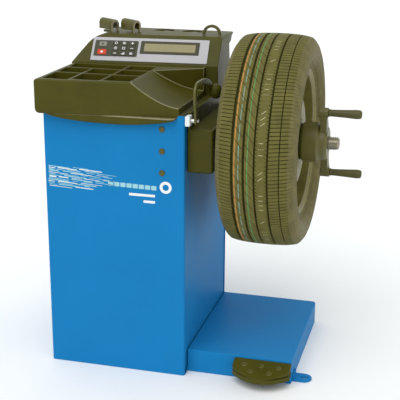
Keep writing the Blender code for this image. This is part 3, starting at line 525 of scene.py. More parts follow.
def top_plate_and_plugs():
    repaint(BLACK_SHEET, "cabinet_top_plate")
    for number, plug in enumerate(PLUGS, 1):
        head = turned(softened([(0.01, 0), (0.01, 0.006), (-GAP, 0.006), (-GAP, 0.009), (-0.0022, 0.0088),
                                (-0.003, 0.007), (-0.0026, 0.004), (-0.0026, 0)], 0.0006), 40)
        piece(f"round_plug_{number}", head, SHINY, stands_for=[f"hole_plug_{number}"],
              place=posed((plug.x, 0, plug.z), pi / 2))


def front_graphic():
    """Generic printed streaks and plain bars on the cabinet's front, a little proud of the paint."""
    proud, sunk = -0.0003, 0.0002
    pale, white = [], []
    draw = random.Random(11)
    for row in range(14):
        share = row / 13
        z = 0.63 - 0.06 * share
        x = 0.007 + draw.uniform(0, 0.006)
        reach = 0.11 + 0.085 * sin(pi * share) + draw.uniform(-0.012, 0.012)
        while x < reach:
            length = draw.uniform(0.02, 0.075)
            height = draw.uniform(0.0012, 0.0032) * (1.15 - 0.6 * x / 0.2)
            end, low = x + length, z - 0.05 * length
            outline = [(x, z), (end, low), (end - 0.004, low + height), (x + 0.004, z + height)]
            (white if row % 3 == 1 else pale).append(prism(outline, "Y", proud, sunk))
            x += length + draw.uniform(0.003, 0.01)
    band = []
    for i in range(8):
        x, z = 0.198 + 0.0188 * i, 0.5845 - 0.0005 * i
        band.append(prism(rounded((x, z), (x + 0.016, z + 0.013), 0.002), "Y", proud, sunk))
    piece("front_streaks_pale", joined(*band, *pale), PALE_PRINT)
    bars = [prism(rounded((0.262, 0.56), (0.341, 0.5675), 0.0015), "Y", proud, sunk),
            prism(rounded((0.306, 0.541), (0.341, 0.5485), 0.0015), "Y", proud, sunk)]
    piece("front_streaks_white", joined(*bars, *white), WHITE)
    centre = (0.3735, 0.5918)
    mark = less(disc("Y", centre, 0.018, proud, sunk, 48), disc("Y", centre, 0.0095, -0.1, 0.1, 48))
    piece("front_mark", mark, WHITE)


def base():
    """The low platform of folded sheet, with the pedal's bearing cheeks inside, and the slotted floor lug."""
    left, right, top = PLATFORM_LOW.x, PLATFORM_HIGH.x, PLATFORM_HIGH.z
    front, back, corner = PLATFORM_LOW.y, PLATFORM_HIGH.y, 0.012
    outline = [(left, front), *circle((right - 0.004, front + 0.004), 0.004, 5, -pi / 2, pi / 2),
               *circle((right - corner, back - corner), corner, 12, 0, pi / 2), (left, back)]
    solid = prism(outline, "Z", 0, top)
    solid = round_edges(solid, 0.003, 3, where=lambda p: p.z > top - 0.001 and p.x > left + 0.001, clamp=True)
    inner = [(left - 0.01, front + SHEET), (right - SHEET, front + SHEET),
             *circle((right - corner, back - corner), corner - SHEET, 12, 0, pi / 2),
             (left - 0.01, back - SHEET)]
    window = block((0.595, 0, 0.022), (0.74, 0.06, 0.06))
    hollow = prism(inner, "Z", -0.01, top - SHEET)
    piece("platform_sheet", less(solid, hollow, window), BLUE, stands_for=["base_platform"])
    cheeks = []
    for x in (0.574, 0.7405):
        cheek = block((x, front + 0.0025, 0.0155), (x + 0.006, 0.078, top - 0.0025))
        cheeks.append(less(cheek, disc("X", (PEDAL_AXIS.y, PEDAL_AXIS.z), 0.0075, x - 0.1, x + 0.1, 32)))
    piece("pedal_cheeks", joined(*cheeks), BLUE)
    y = 0.078
    tab = [(right + GAP, y - 0.024), (right + 0.03, y - 0.024),
           *circle((right + 0.032, y), 0.024, 24, -pi / 2, pi), (right + GAP, y + 0.024)]
    foot = block((right + GAP, y - 0.024, 0.003), (right + 0.005, y + 0.024, 0.02))
    lug = plus(prism(tab, "Z", 0, 0.006), foot)
    slot = prism(rounded((right + 0.022, y - 0.006), (right + 0.046, y + 0.006), 0.0058, 8), "Z", -0.01, 0.03)
    piece("floor_lug", round_edges(less(lug, slot), 0.0006, 2), BLUE, stands_for=["anchor_lug"])


# ---------------------------------------------------------------- weight tray and display


def pocket_cutter(low, high, radius):
    """The void of a pocket: a filleted floor, straight walls and a rim that is rolled outwards."""
    fillet, roll, top = 0.004, 0.0022, TRAY_HIGH.z
    levels = [(-fillet * inward, POCKET_FLOOR + fillet * rise) for inward, rise in quarter(4)]
    levels += [(roll * outward, top - roll * drop) for drop, outward in quarter(4)]
    levels.append((roll, top + 0.002))
    rings = []
    for amount, z in levels:
        outline = rounded(*grown(low, high, amount), max(radius + amount, 0.001), 6)
        rings.append([(x, y, z) for x, y in outline])
    return stack(rings)


def weight_tray():
    """The moulded tray: rolled outer edges, eight pockets, the scooped wing and the lip under its front."""
    edge, left, right = 0.006, TRAY_LOW.x, TRAY_HIGH.x
    top, bottom = TRAY_HIGH.z, TRAY_BOTTOM

    def ring(inset, y_of):
        upper, lower = 0.009, 0.014
        points = [(right, bottom + inset), (right, top - inset),
                  *circle((left + upper, top - upper), upper - inset, 7, pi / 2, pi / 2),
                  *circle((left + lower, bottom + lower), lower - inset, 7, pi, pi / 2)]
        return [(x, y_of(x), z) for x, z in points]

    rings = []
    for inset, depth in quarter(6):
        rings.append(ring(edge * inset, lambda x, depth=edge * depth: tray_front(x) + depth))
    rings.append(ring(0.0, lambda x: housing_front(x) - GAP))
    body = stack(rings)

    end = right + 0.01
    xs = [SCOOP_LEFT + (end - SCOOP_LEFT) * i / 28 for i in range(29)]
    line = [(x, scoop_z(min(x, right))) for x in xs] + [(end, 0.95), (SCOOP_LEFT, 0.95)]
    scoop = stack([[(x, -0.2, z) for x, z in line], [(x, scoop_back(x), z) for x, z in line]])
    pockets = []
    for row, (y0, y1) in enumerate(POCKET_ROWS):
        for x0, x1 in POCKET_COLUMNS if row < 2 else POCKET_BACK_COLUMNS:
            start = max(y0, tray_front(x1) + 0.014)
            pockets.append(pocket_cutter((x0, start), (x1, y1), 0.006))
    wall = 0.004
    step, seam = tray_front(SCOOP_LEFT) + wall, SCOOP_LEFT - 0.001
    under = prism([(left + wall, tray_front(left) + wall + 0.002), (SCOOP_LEFT, step),
                   (SCOOP_LEFT, TRAY_BACK - wall), (left + wall, TRAY_BACK - wall)],
                  "Z", 0.7, POCKET_FLOOR - wall)
    wing = prism([(seam, step), (right - wall, tray_front(right) + wall),
                  (right - wall, housing_front(right) - wall), (seam, TRAY_BACK - wall)],
                 "Z", 0.7, SCOOP_LOW - wall)
    seat = block((-GAP, -GAP, 0.7), (0.6, 0.6, DECK_Z))
    body = less(body, scoop, *pockets, under, wing, seat)

    def rim(p):
        on_front = p.y < tray_front(p.x) + 0.02 and p.z > bottom + 0.002
        on_wall = abs(p.y - scoop_back(p.x)) < 0.001 and p.x > SCOOP_LEFT
        on_edge = on_front or on_wall or p.x > right - 0.0005
        return on_edge and p.z > SCOOP_LOW - 0.001 and p.x > seam

    # the rounded rims take the second material, a lighter copy of the moulding: a painted highlight along
    # them
    body = round_edges(body, 0.0022, 3, 25.0, rim, finish=1)
    drop, count, high = 0.024, 40, bottom + 0.004
    rings = []
    for i in range(count + 1):
        share = i / count
        x, low = left + 0.03 + share * (right - left - 0.036), bottom + 0.001 - drop * sin(pi * share) ** 0.6
        front = min(-0.02, tray_front(x) + 0.002)
        curl = min(0.006, (high - low) * 0.48)
        ring = [(x, -GAP, high)]
        ring += [(x, y, z) for y, z in circle((front + curl, high - curl), curl, 5, pi / 2, pi / 2)]
        ring += [(x, y, z) for y, z in circle((front + curl, low + curl), curl, 5, pi, pi / 2)]
        rings.append([*ring, (x, -GAP, low)])
    lip = stack(rings)
    # the lip's faces that look up take the lighter copy too: a painted highlight where light falls from above
    for face in lip.faces:
        face.material_index = int(face.normal.z > 0.4 and face.calc_center_median().x > 0.05)
    piece("tray_moulding", joined(body, lip), MOULDING, stands_for=["weight_tray"], extra=[EDGE_PAINTED_HIGHLIGHT])


def housing():
    """The display's wedge with its rounded edges and convex left end, hollow below."""
    top = HOUSING_TOP
    run = (top - TRAY_HIGH.z) * tan(radians(40))

    def section(x, inset, foot):
        y = housing_front(x)
        return [(x, y + inset, foot), (x, y + inset, TRAY_HIGH.z + 0.002), (x, y + run + inset, top - inset),
                (x, HOUSING_HIGH.y - inset, top - inset), (x, HOUSING_HIGH.y - inset, foot)]

    body = stack([section(-0.1, 0, DECK_Z), section(0.6, 0, DECK_Z)])
    left, right, base_z = HOUSING_LOW.x, HOUSING_HIGH.x, TRAY_HIGH.z
    crest = curve_through([(left, base_z), (0.012, top - 0.047), (0.03, top - 0.022), (0.05, top - 0.007),
                           (0.074, top + 0.0005)], 4)
    slope = [(left, 0.7), (right, 0.7), (right, base_z), (right - 0.003, top - 0.008),
             (right - 0.009, top + 0.0005), *reversed(crest)]
    body = combined("INTERSECT", body, prism(slope, "Y", 0.1, 0.6))
    body = round_edges(body, 0.0045, 4, 38.0, lambda p: p.z > base_z - 0.05, clamp=True)
    hollow = stack([section(0.002, 0.004, 0.7), section(right - 0.02, 0.004, 0.7)])
    corner = prism([(-0.05, base_z - 0.0555), (0.05, top - 0.0135), (0.074, top - 0.0035), (-0.05, 1.1)], "Y",
                   0.1, 0.6)
    piece("display_wedge", less(body, less(hollow, corner)), MOULDING, stands_for=["display_housing"])


PRESS = next(Vector(j["axis"]) for j in frame["joints"] if j["name"] == "start_key_press")
PANEL_Z = -PRESS.normalized()
PANEL_X = Vector((-PANEL_Z.y, PANEL_Z.x, 0)).normalized()
PANEL_CORNER = Vector((0.047, housing_front(0.047), TRAY_HIGH.z + 0.002))
PANEL_AXES = Matrix((PANEL_X, PANEL_Z.cross(PANEL_X), PANEL_Z)).transposed().to_4x4()
PANEL = Matrix.Translation(PANEL_CORNER) @ PANEL_AXES


INK = 0.00025  # the thickness of a printed pictogram
GLYPH_BARS = {  # (x0, y0, x1, y1) as shares of half the pictogram's size
    "square": [(-0.6, -0.6, 0.6, 0.6)],
    "plus": [(-0.8, -0.16, 0.8, 0.16), (-0.16, -0.8, 0.16, -0.17), (-0.16, 0.17, 0.16, 0.8)],
    "minus": [(-0.8, -0.16, 0.8, 0.16)],
    "bars": [(-0.8, -0.6, 0.8, -0.3), (-0.8, -0.1, 0.8, 0.2), (-0.8, 0.4, 0.4, 0.7)],
    "steps": [(-0.8, -0.7, -0.35, -0.1), (-0.2, -0.7, 0.25, 0.3), (0.4, -0.7, 0.85, 0.7)],
    "frame": [(-0.8, -0.7, 0.8, -0.45), (-0.8, 0.45, 0.8, 0.7), (-0.8, -0.44, -0.55, 0.44),
              (0.55, -0.44, 0.8, 0.44)],
    "dots": [(-0.8, -0.2, -0.3, 0.2), (0.3, -0.2, 0.8, 0.2)],
}


def glyph(kind, size):
    """A plain pictogram of bars, rings and dots, on the plane z = 0."""
    s = size / 2

    def ring(radius, inner):
        tube = turned([(0, inner * s), (0, radius * s), (INK, radius * s), (INK, inner * s)], 28)
        return moved(tube, turn=-pi / 2, axis="Y")

    if kind == "triangle":
        return prism([(-0.6 * s, -0.7 * s), (0.8 * s, 0), (-0.6 * s, 0.7 * s)], "Z", 0, INK)
    if kind == "ring":
        return ring(0.8, 0.55)
    shapes = [ring(0.85, 0.65)] if kind == "target" else []
    for x0, y0, x1, y1 in GLYPH_BARS.get(kind, ()):
        shapes.append(block((x0 * s, y0 * s, 0), (x1 * s, y1 * s, INK)))
    if kind in ("target", "dots"):
        shapes.append(disc("Z", (0, 0), size * 0.14, 0, INK, 20))
    return joined(*shapes)


def panel():
    """The silver panel with the keypad, its eleven keys and the recessed display."""
    bezel = pillow((0, 0.006), (0.369, 0.09), 0.002, GAP, 0.0031, 0.001)
    pad_low, pad_high = (0.008, 0.022), (0.146, 0.078)
    lcd_low, lcd_high = (0.154, 0.034), (0.34, 0.08)
    hole = prism(rounded(lcd_low, lcd_high, 0.002), "Z", -0.1, 0.1)
    piece("silver_bezel", less(bezel, hole), SILVER, stands_for=["panel_bezel"], place=PANEL)

    keys = [("start_key", (0.034, 0.064), (0.024, 0.016), GREY_KEY, "triangle"),
            ("stop_key", (0.034, 0.035), (0.028, 0.018), RED_KEY, "square")]
    kinds = ("ring", "bars", "plus", "target", "frame", "minus", "dots", "steps", "bars")
    for number, kind in enumerate(kinds):
        place = (0.076 + 0.026 * (number % 3), 0.068 - 0.0185 * (number // 3))
        keys.append((f"function_key_{number + 1}", place, (0.021, 0.0145), KEY, kind))
    pad = pillow(pad_low, pad_high, 0.003, 0.003 + GAP, 0.0052, 0.0006)
    wells, well_floor, travel = [], 0.0036, 0.001
    for name, (x, y), (w, h), finish, kind in keys:
        low, high = (x - w / 2, y - h / 2), (x + w / 2, y + h / 2)
        wells.append(prism(rounded(*grown(low, high, GAP), 0.002), "Z", well_floor, 0.1))
        cap = pillow(low, high, 0.0017, well_floor + travel + GAP, 0.0066, 0.0008, 0.0002)
        piece(f"{name}_moulding", cap, finish, name + "_cap", stands_for=[name], place=PANEL)
        ink = DARK_FRAME if finish is GREY_KEY else WHITE
        mark = moved(glyph(kind, 0.0115), (x, y, 0.00675))
        piece(f"{name}_pictogram", mark, ink, name + "_cap", place=PANEL)
    piece("keypad_frame", less(pad, *wells), PAD, stands_for=["keypad_base"], place=PANEL)

    glass_low, glass_high = (0.166, 0.043), (0.328, 0.0715)
    surround = pillow(*grown(lcd_low, lcd_high, -GAP), 0.002, GAP, 0.0048, 0.001)
    levels = ((0.003, 0.0), (0.0042, 0.0), (0.0048, 0.0012), (0.1, 0.0012))
    funnel = stack([[(x, y, z) for x, y in rounded(*grown(glass_low, glass_high, amount), 0.0015)]
                    for z, amount in levels])
    piece("display_surround", less(surround, funnel), DARK_FRAME, stands_for=["lcd_window"], place=PANEL)
    glass = pillow(glass_low, glass_high, 0.0012, 0.0028, 0.0036, 0.0002)
    piece("display_glass_pane", glass, GLASS, place=PANEL)


def shelf_loop_and_pegs():
    """The rear shelf with its two round holes, the half ring and the two saddles for cones."""
    low, high = SHELF_LOW, SHELF_HIGH
    plate = prism(rounded((low.x, low.y), (high.x, high.y), 0.012), "Z", high.z - 0.006, high.z)
    holes = [disc("Z", (x, 0.502), 0.034, 0.9, 1.0, 64) for x in (0.218, 0.312)]
    web = block((0.05, low.y, low.z), (0.41, low.y + 0.004, high.z - 0.003))
    near, top = low.y + 0.001, high.z - 0.002
    side = [(near, low.z + 0.002), (near, top), (high.y - 0.014, top), (high.y - 0.03, low.z + 0.02)]
    gussets = [prism(side, "X", x, x + 0.004) for x in (0.046, high.x - 0.0055)]
    shelf = round_edges(plus(less(plate, *holes), web, *gussets), 0.0014, 3)
    piece("shelf_moulding", shelf, MOULDING, stands_for=["tool_shelf"])

    loop_low, loop_high = local_box("housing_loop")
    foot, outer, inner = (middle("housing_loop").x, loop_low.z), 0.0305, 0.0215
    arch = prism([*circle(foot, outer, 33, 0, pi), *reversed(circle(foot, inner, 33, 0, pi))], "Y",
                 loop_low.y, loop_high.y)
    piece("half_ring", round_edges(arch, 0.0018, 3, 40), SHINY, stands_for=["housing_loop"])

    def saddle(along, half, height, base_z, wall=0.0042):
        outline = [(half, base_z), *circle((0, height - half), half, 21, 0, pi), (-half, base_z),
                   (wall - half, base_z), *circle((0, height - half), half - wall, 21, pi, -pi),
                   (half - wall, base_z)]
        return [(along, y, z) for y, z in outline]

    stations = ((0.001, 0.0185, 0.04), (-0.012, 0.018, 0.041), (-0.036, 0.017, 0.0425), (-0.05, 0.016, 0.043))
    for number, x in enumerate((0.086, 0.159), 1):
        collar = stack([saddle(along, 0.0185, 0.04, 0.0, 0.008) for along in (0.0, 0.006)])
        peg = plus(collar, stack([saddle(*station, 0.01) for station in stations]))
        peg = round_edges(peg, 0.0009, 2, 50)
        # the end faces that face along +X take the second material: a painted highlight on them
        for face in peg.faces:
            if face.normal.x > 0.8 and face.calc_center_median().x > 0.005:
                face.material_index = 1
        piece(f"cone_saddle_{number}", peg, SHINY, stands_for=[f"cone_peg_{number}"], extra=[END_FACE_HIGHLIGHT],
              place=posed((x, 0.385, HOUSING_TOP - 0.001 + GAP), radians(-24)))


# ---------------------------------------------------------------- spindle, wheel and nut


def cover():
    """The box over the spindle where it leaves the cabinet, and the flat flange above it."""
    low, high = local_box("spindle_cover")
    top, front, back, bottom, flange_front = 0.762, low.y, 0.42, low.z, 0.032
    box = block((low.x, front, bottom), (high.x, back, top))
    box = round_edges(box, 0.007, 4, where=lambda p: p.x > low.x + 0.001, clamp=True)
    flange = block((low.x, flange_front, top - 0.005), (low.x + 0.008, high.y, high.z))
    flange = round_edges(flange, 0.002, 3, where=lambda p: p.x > low.x + 0.001, clamp=True)
    wall = 0.004
    hollow = block((low.x - 0.01, front + wall, bottom + wall), (high.x - wall, back - wall, top - wall))
    bore = disc("X", ON_AXIS[1:], SPINDLE_HOLE_R, high.x - 0.02, high.x + 0.02, 64)
    piece("spindle_guard", less(plus(box, flange), hollow, bore), MOULDING, stands_for=["spindle_cover"])
    for number, (y, z) in enumerate(((0.075, 0.785), (0.42, 0.785), (0.25, 0.785)), 1):
        screw(f"guard_screw_{number}", (low.x + 0.008, y, z), (1, 0, 0), 0.004)


def thread_ridge(start, end, pitch, core, crest):
    """A trapezoidal ridge wound round the X axis, whose ends run out into the core."""
    steps = 36
    count = int((end - start) / pitch * steps)
    rings = []
    for i in range(count + 1):
        angle = tau * i / steps
        rise = min(1.0, i / (steps / 2), (count - i) / (steps / 2))
        x = start + (end - start) * i / count
        peak = core - 0.0002 + (crest - core + 0.0002) * rise
        outline = [(x - 0.36 * pitch, core - 0.0008), (x - 0.17 * pitch, peak), (x + 0.17 * pitch, peak),
                   (x + 0.36 * pitch, core - 0.0008)]
        rings.append([(px, r * cos(angle), r * sin(angle)) for px, r in outline])
    return stack(rings)


def shaft():
    """The spindle's shaft: ground where it runs in its bearings and threaded outside the wheel."""
    flange_face = HUB_FACE + WHEEL_X
    back = flange_face - 0.012 - GAP
    core, start = SHAFT_R - 0.0024, flange_face + 0.004
    profile = [(SHAFT_LOW.x, 0), (SHAFT_LOW.x, 0.014), (0.205, 0.014), (0.205, SHAFT_R), (0.64, SHAFT_R),
               (0.64, 0.03), (back, 0.03), (back, SHAFT_R), (start, SHAFT_R), (start + 0.001, core),
               (SHAFT_HIGH.x - 0.0035, core), (SHAFT_HIGH.x, core - 0.0035), (SHAFT_HIGH.x, 0.006),
               (SHAFT_HIGH.x - 0.007, 0)]
    bar = turned(profile, 72)
    ridge = thread_ridge(start + 0.003, SHAFT_HIGH.x - 0.004, 0.006, core, SHAFT_R)
    piece("threaded_shaft", joined(bar, ridge), THREAD, "spindle", ["main_shaft"], ON_AXIS)
    ring = turned(softened([(flange_face - 0.012, SHAFT_R + GAP), (flange_face - 0.012, 0.045),
                            (flange_face - 0.026, 0.055), (flange_face - 0.026, 0.072),
                            (flange_face - GAP, 0.072), (flange_face - GAP, SHAFT_R + GAP)], 0.0015))
    piece("hub_flange", ring, CASTING, "spindle", ["backing_flange"], ON_AXIS)


TREAD_GROOVES = ((-0.0615, -0.0545), (-0.0285, -0.0225), (0.0025, 0.007), (0.0385, 0.043), (0.0715, 0.0735))
TREAD_LINES = ((-0.052, -0.0482, 3), (-0.0402, -0.0376, 4), (-0.015, -0.0126, 5))
TREAD_EDGE, GROOVE_DEPTH, SHOULDER_CUT = 0.0945, 0.0068, 0.0012
PITCHES = 177
ROW_SHARES = (0.0, 0.04, 0.15, 0.19, 0.6)


def crown_radius(u):
    """The tread's radius across its width: nearly flat, and falling away at the shoulders."""
    drop = 0.0022 * (u / 0.06) ** 2 if abs(u) < 0.06 else 0.0022
    beyond = max(0.0, abs(u) - 0.06)
    return TYRE_R - drop - 0.095 * beyond - 2.2 * beyond ** 2 - 900 * max(0.0, abs(u) - 0.088) ** 3


def tread_columns():
    """The offsets from the tyre's middle at which the tread's outline has a point, from left to right."""
    edges = {-TREAD_EDGE, TREAD_EDGE, 0.0115, 0.012, 0.0335, 0.034}
    for a, b in TREAD_GROOVES:
        edges.update((a - 0.0005, a + 0.0005, b - 0.0005, b + 0.0005))
    for a, b, _ in TREAD_LINES:
        edges.update((a, b))
    ordered = sorted(edges)
    offsets = []
    for a, b in zip(ordered, ordered[1:]):
        parts = max(1, round((b - a) / 0.0085))
        offsets += [a + (b - a) * i / parts for i in range(parts)]
    return [*offsets, ordered[-1]]


def in_groove(u):
    return any(a < u < b for a, b in TREAD_GROOVES)


def sipe_depth(u, pitch):
    """How deep the cross cut of a pitch is at an offset: none on the middle of the rib with the chalk."""
    if u < -0.062:
        return 0.0046
    if u < -0.0285:
        return 0.003 if pitch % 3 == 0 else 0.0
    if u < 0.0025:
        return 0.0026 if pitch % 3 == 1 else 0.0
    if u < 0.0385:
        return 0.0024 if u < 0.0118 or u > 0.0337 else 0.0
    if u < 0.072:
        return 0.0038
    return 0.0044 if pitch % 2 else 0.0026


def sipe_lean(u):
    """How far, in pitches, the cross cuts run round the tyre at an offset."""
    if u < -0.062:
        return 10.0 * (u + 0.062)
    if u < 0.0025:
        return 110.0 * (u + 0.062)
    if u < 0.0385:
        return 40.0 * u
    return -9.0 * (u - 0.0385)


def ridged(points):
    """A sidewall's points with fine raised rings."""
    height, found = 0.0008, []
    for i, (p, q) in enumerate(zip(points, points[1:])):
        found.append(p)
        if i % 4 == 1:
            for share in (0.12, 0.88):
                found.append((p[0] + (q[0] - p[0]) * share - height, p[1] + (q[1] - p[1]) * share))
    return [*found, points[-1]]


def strip_look(a, b, cut, pitch):
    """The material index of the tread between two offsets: rubber, the painted shade on a groove's or cut's
    floor, or one of the painted lines.
    """
    u = (a + b) / 2
    if all(in_groove(spot) for spot in (a, u, b)) or (cut and sipe_depth(u, pitch) > 0.002):
        return 2
    for start, end, line in TREAD_LINES:
        if start < u < end and not (line == 4 and pitch % 5 == 0):
            return line
    return 0


def tyre():
    """The tyre: a tread of ribs, grooves and sipes, with painted lines, two sidewalls and the inner liner."""
    side = curve_through([(-TREAD_EDGE, crown_radius(TREAD_EDGE)), (-0.102, 0.2975), (-0.1085, 0.287),
                          (-0.112, 0.274), (-TYRE_HALF, 0.26), (-0.1115, 0.248), (-0.1065, 0.238),
                          (-0.0985, 0.229)], 4)
    bead = [(-0.095, 0.2275), (-0.0945, 0.2255), (-0.0872, 0.2196), (-0.0838, 0.2125), (-0.0815, BEAD_R),
            (-0.069, BEAD_R), (-0.08, 0.222), (-0.099, 0.245), (-0.102, 0.262), (-0.1, 0.28),
            (-0.082, 0.296), (-0.04, 0.302)]
    left = [*ridged(side[1:]), *bead]
    offsets = tread_columns()
    profile = [*((u, None) for u in offsets), *((-u, r) for u, r in left), (0.0, 0.303), *reversed(left)]
    bm = bmesh.new()
    rows = []
    for pitch in range(PITCHES):
        for slot, share in enumerate(ROW_SHARES):
            cut = slot in (1, 2)
            row = []
            for u, radius in profile:
                lean = 0.0
                if radius is None:
                    radius, lean = crown_radius(u), sipe_lean(u)
                    if in_groove(u):
                        radius -= GROOVE_DEPTH
                    elif cut:
                        radius -= sipe_depth(u, pitch)
                elif radius > 0.29 and abs(u) > 0.09:
                    lean = sipe_lean(copysign(TREAD_EDGE, u))
                    if cut:
                        radius -= SHOULDER_CUT
                angle = tau * (pitch + share + lean) / PITCHES
                row.append(bm.verts.new((u, radius * cos(angle), radius * sin(angle))))
            rows.append(row)
    width, tread = len(profile), len(offsets)
    for i, row in enumerate(rows):
        after = rows[(i + 1) % len(rows)]
        cut, pitch = i % len(ROW_SHARES) == 1, i // len(ROW_SHARES)
        for j in range(width):
            k = (j + 1) % width
            face = bm.faces.new((row[j], row[k], after[k], after[j]))
            on_tread = j < tread - 1
            face.material_index = strip_look(offsets[j], offsets[k], cut, pitch) if on_tread else 1
    bmesh.ops.recalc_face_normals(bm, faces=bm.faces)
    piece("tyre_casing", bm, TYRE, "test_wheel", ["tyre"], WHEEL_CENTRE, angle=38,
          extra=(SIDEWALL, GROOVE_PAINTED_SHADE, ORANGE, CYAN, GREEN))


def tyre_marks():
    """Generic chalk marks along one rib: groups of plain slashes, single rungs and dots."""
    strokes = {
        "slash": [(-0.006, -0.005, 0.006, 0.005)],
        "rung": [(-0.006, 0.0, 0.006, 0.0)],
        "dots": [(-0.0065, 0.0, -0.0042, 0.0), (-0.0012, 0.0, 0.0012, 0.0), (0.0042, 0.0, 0.0065, 0.0)],
    }
    groups = (("rung", "dots", "rung"), ("slash",) * 3, ("dots", "rung", "dots", "rung", "dots"),
              ("slash",), ("rung",) * 4, ("slash",) * 2)
    rib, width, step, space = 0.0225, 0.002, 0.052, 0.11
    marks, angle = [], 0.02
    for group in cycle(groups):
        if angle >= tau - 0.35:
            break
        for kind in group:
            for x0, y0, x1, y1 in strokes[kind]:
                half, lean = hypot(x1 - x0, y1 - y0) / 2, atan2(y1 - y0, x1 - x0)
                bar = block((-half, -width / 2, -0.0006), (half, width / 2, 0.00035))
                centre = rib + (x0 + x1) / 2
                turn = Matrix.Rotation(-angle - (y0 + y1) / 2 / TYRE_R, 4, "X")
                bar.transform(turn @ posed((centre, 0, crown_radius(centre)), lean))
                marks.append(bar)
            angle += step
        angle += space
    piece("tyre_chalk_marks", joined(*marks), CHALK, "test_wheel", at=WHEEL_CENTRE)


def wheel():
    """The rim's barrel and its domed disc with vent holes, bolt holes and a valve."""
    half, seat = RIM_HALF, BEAD_R - 2 * GAP
    flange = [(-half - 0.01, RIM_FLANGE_R - 0.0045), (-half - 0.0085, RIM_FLANGE_R - 0.001),
              (-half - 0.006, RIM_FLANGE_R), (-half - 0.0035, RIM_FLANGE_R - 0.0015),
              (-half - 0.0015, RIM_FLANGE_R - 0.006), (-half, seat)]
    outside = [*flange, (-0.05, seat), (-0.035, 0.178), (0.02, 0.178), (0.035, seat),
               *[(-x, r) for x, r in reversed(flange)]]
    inside = [(half + 0.0085, seat + 0.006), (half + 0.004, seat - 0.0035), (0.038, seat - 0.005),
              (0.0225, WELL_R), (-0.036, WELL_R), (-0.053, seat - 0.005), (-half - 0.004, seat - 0.0035),
              (-half - 0.0085, seat + 0.006)]
    barrel = turned(softened([*outside, *inside], 0.0035, 4), 128)
    # the barrel takes a darker copy of the alloy, a painted shade; faces on the flange lips and by the bead
    # seats take a lighter one, a painted highlight
    for face in barrel.faces:
        spot = face.calc_center_median()
        radius = hypot(spot.y, spot.z)
        edge = radius > RIM_FLANGE_R - 0.0024 or abs(radius - seat + 0.003) < 0.0016
        face.material_index = 1 if edge and abs(spot.x) > half else 0
    piece("rim_barrel", barrel, RIM_PAINTED_SHADE, "test_wheel", ["wheel_rim"], WHEEL_CENTRE, extra=[RIM_PAINTED_HIGHLIGHT])
    face, skirt = HUB_FACE, WELL_R - GAP
    front = [(0.002, skirt), (0.0215, skirt), (0.04, 0.166), (0.05, 0.158), (0.066, 0.142), (0.074, 0.126),
             (0.075, 0.112), (0.07, 0.095), (0.064, 0.086), (face + 0.008, 0.076), (face + 0.0065, 0.06),
             (face + 0.006, 0.033)]
    back = [(face, 0.033), (face, 0.078), (0.055, 0.088), (0.064, 0.1), (0.067, 0.114), (0.066, 0.124),
            (0.058, 0.138), (0.044, 0.151), (0.036, 0.16), (0.02, skirt - 0.004), (0.002, skirt - 0.004)]
    dish = turned(softened([*front, *back], 0.003, 3), 128)
    holes = []
    for count, ring, radius, turn in ((8, 0.142, 0.011, 0.0), (5, 0.056, 0.007, 0.5)):
        for i in range(count):
            a = tau * (i + turn) / count
            holes.append(disc("X", (ring * cos(a), ring * sin(a)), radius, 0.03, 0.09, 32))
    dish = round_edges(less(dish, *holes), 0.001, 2, 55)
    piece("rim_disc", dish, RIM, "test_wheel", ["wheel_disc"], WHEEL_CENTRE)
    stem = turned(softened([(0.046, 0), (0.046, 0.0055), (0.058, 0.0052), (0.066, 0.004), (0.082, 0.0034),
                            (0.082, 0.004), (0.092, 0.004), (0.094, 0)], 0.0008), 24)
    piece("tyre_valve", moved(stem, (0, 0, 0.1905)), BELT, "test_wheel", at=WHEEL_CENTRE)


def quick_nut():
    """The quick nut's hub with two bosses, the tapered handles and the pressure cup."""
    bore = SHAFT_R + 0.0006
    hub = turned(softened([(0.726, bore), (0.726, 0.052), (0.735, 0.06), (0.778, 0.06), (0.784, 0.052),
                           (0.8, 0.05), (0.806, 0.044), (0.806, bore)], 0.003, 4), 96)
    reach_r, lean = 0.107, radians(112)
    handle = softened([(0.793, 0), (0.793, 0.005), (0.8085, 0.005), (0.8085, 0.0112), (0.812, 0.0112),
                       (0.814, 0.01), (0.83, 0.0104), (0.862, 0.0118), (0.89, 0.0135), (0.901, 0.0122),
                       (0.904, 0.007), (0.904, 0)], 0.003)
    arms, bores = [], [disc("X", (0, 0), bore, 0.7, 0.85, 96)]
    for number in range(2):
        turn = lean + number * pi
        reach = Vector((cos(turn), sin(turn)))
        across, end = Vector((-reach.y, reach.x)), tuple(reach * reach_r)
        arm = [reach * along + across * half for along, half in
               ((0.035, 0.02), (reach_r - 0.004, 0.013), (reach_r - 0.004, -0.013), (0.035, -0.02))]
        arms.append(prism([tuple(p) for p in arm], "X", 0.784, 0.804))
        arms.append(disc("X", end, 0.0145, 0.78, 0.808))
        bores.append(disc("X", end, 0.0053, 0.79, 0.9, 24))
        piece(f"nut_grip_{number + 1}", turned(handle, 40, end), GRIP, "nut", [f"nut_handle_{number + 1}"],
              ON_AXIS)
    hub = round_edges(less(plus(hub, *arms), *bores), 0.0015, 3, 45)
    piece("nut_casting", hub, BLACK_METAL, "nut", ["quick_nut"], ON_AXIS)
    face = HUB_FACE + WHEEL_X + 0.008 + GAP
    cup = turned(softened([(face, 0.058), (face, 0.068), (0.716, 0.068), (0.7257, 0.06), (0.7257, bore),
                           (0.718, bore), (0.718, 0.052), (0.712, 0.058)], 0.0015), 96)
    piece("cup_moulding", cup, SHINY, "nut", ["pressure_cup"], ON_AXIS)


# ---------------------------------------------------------------- gauge and pedal


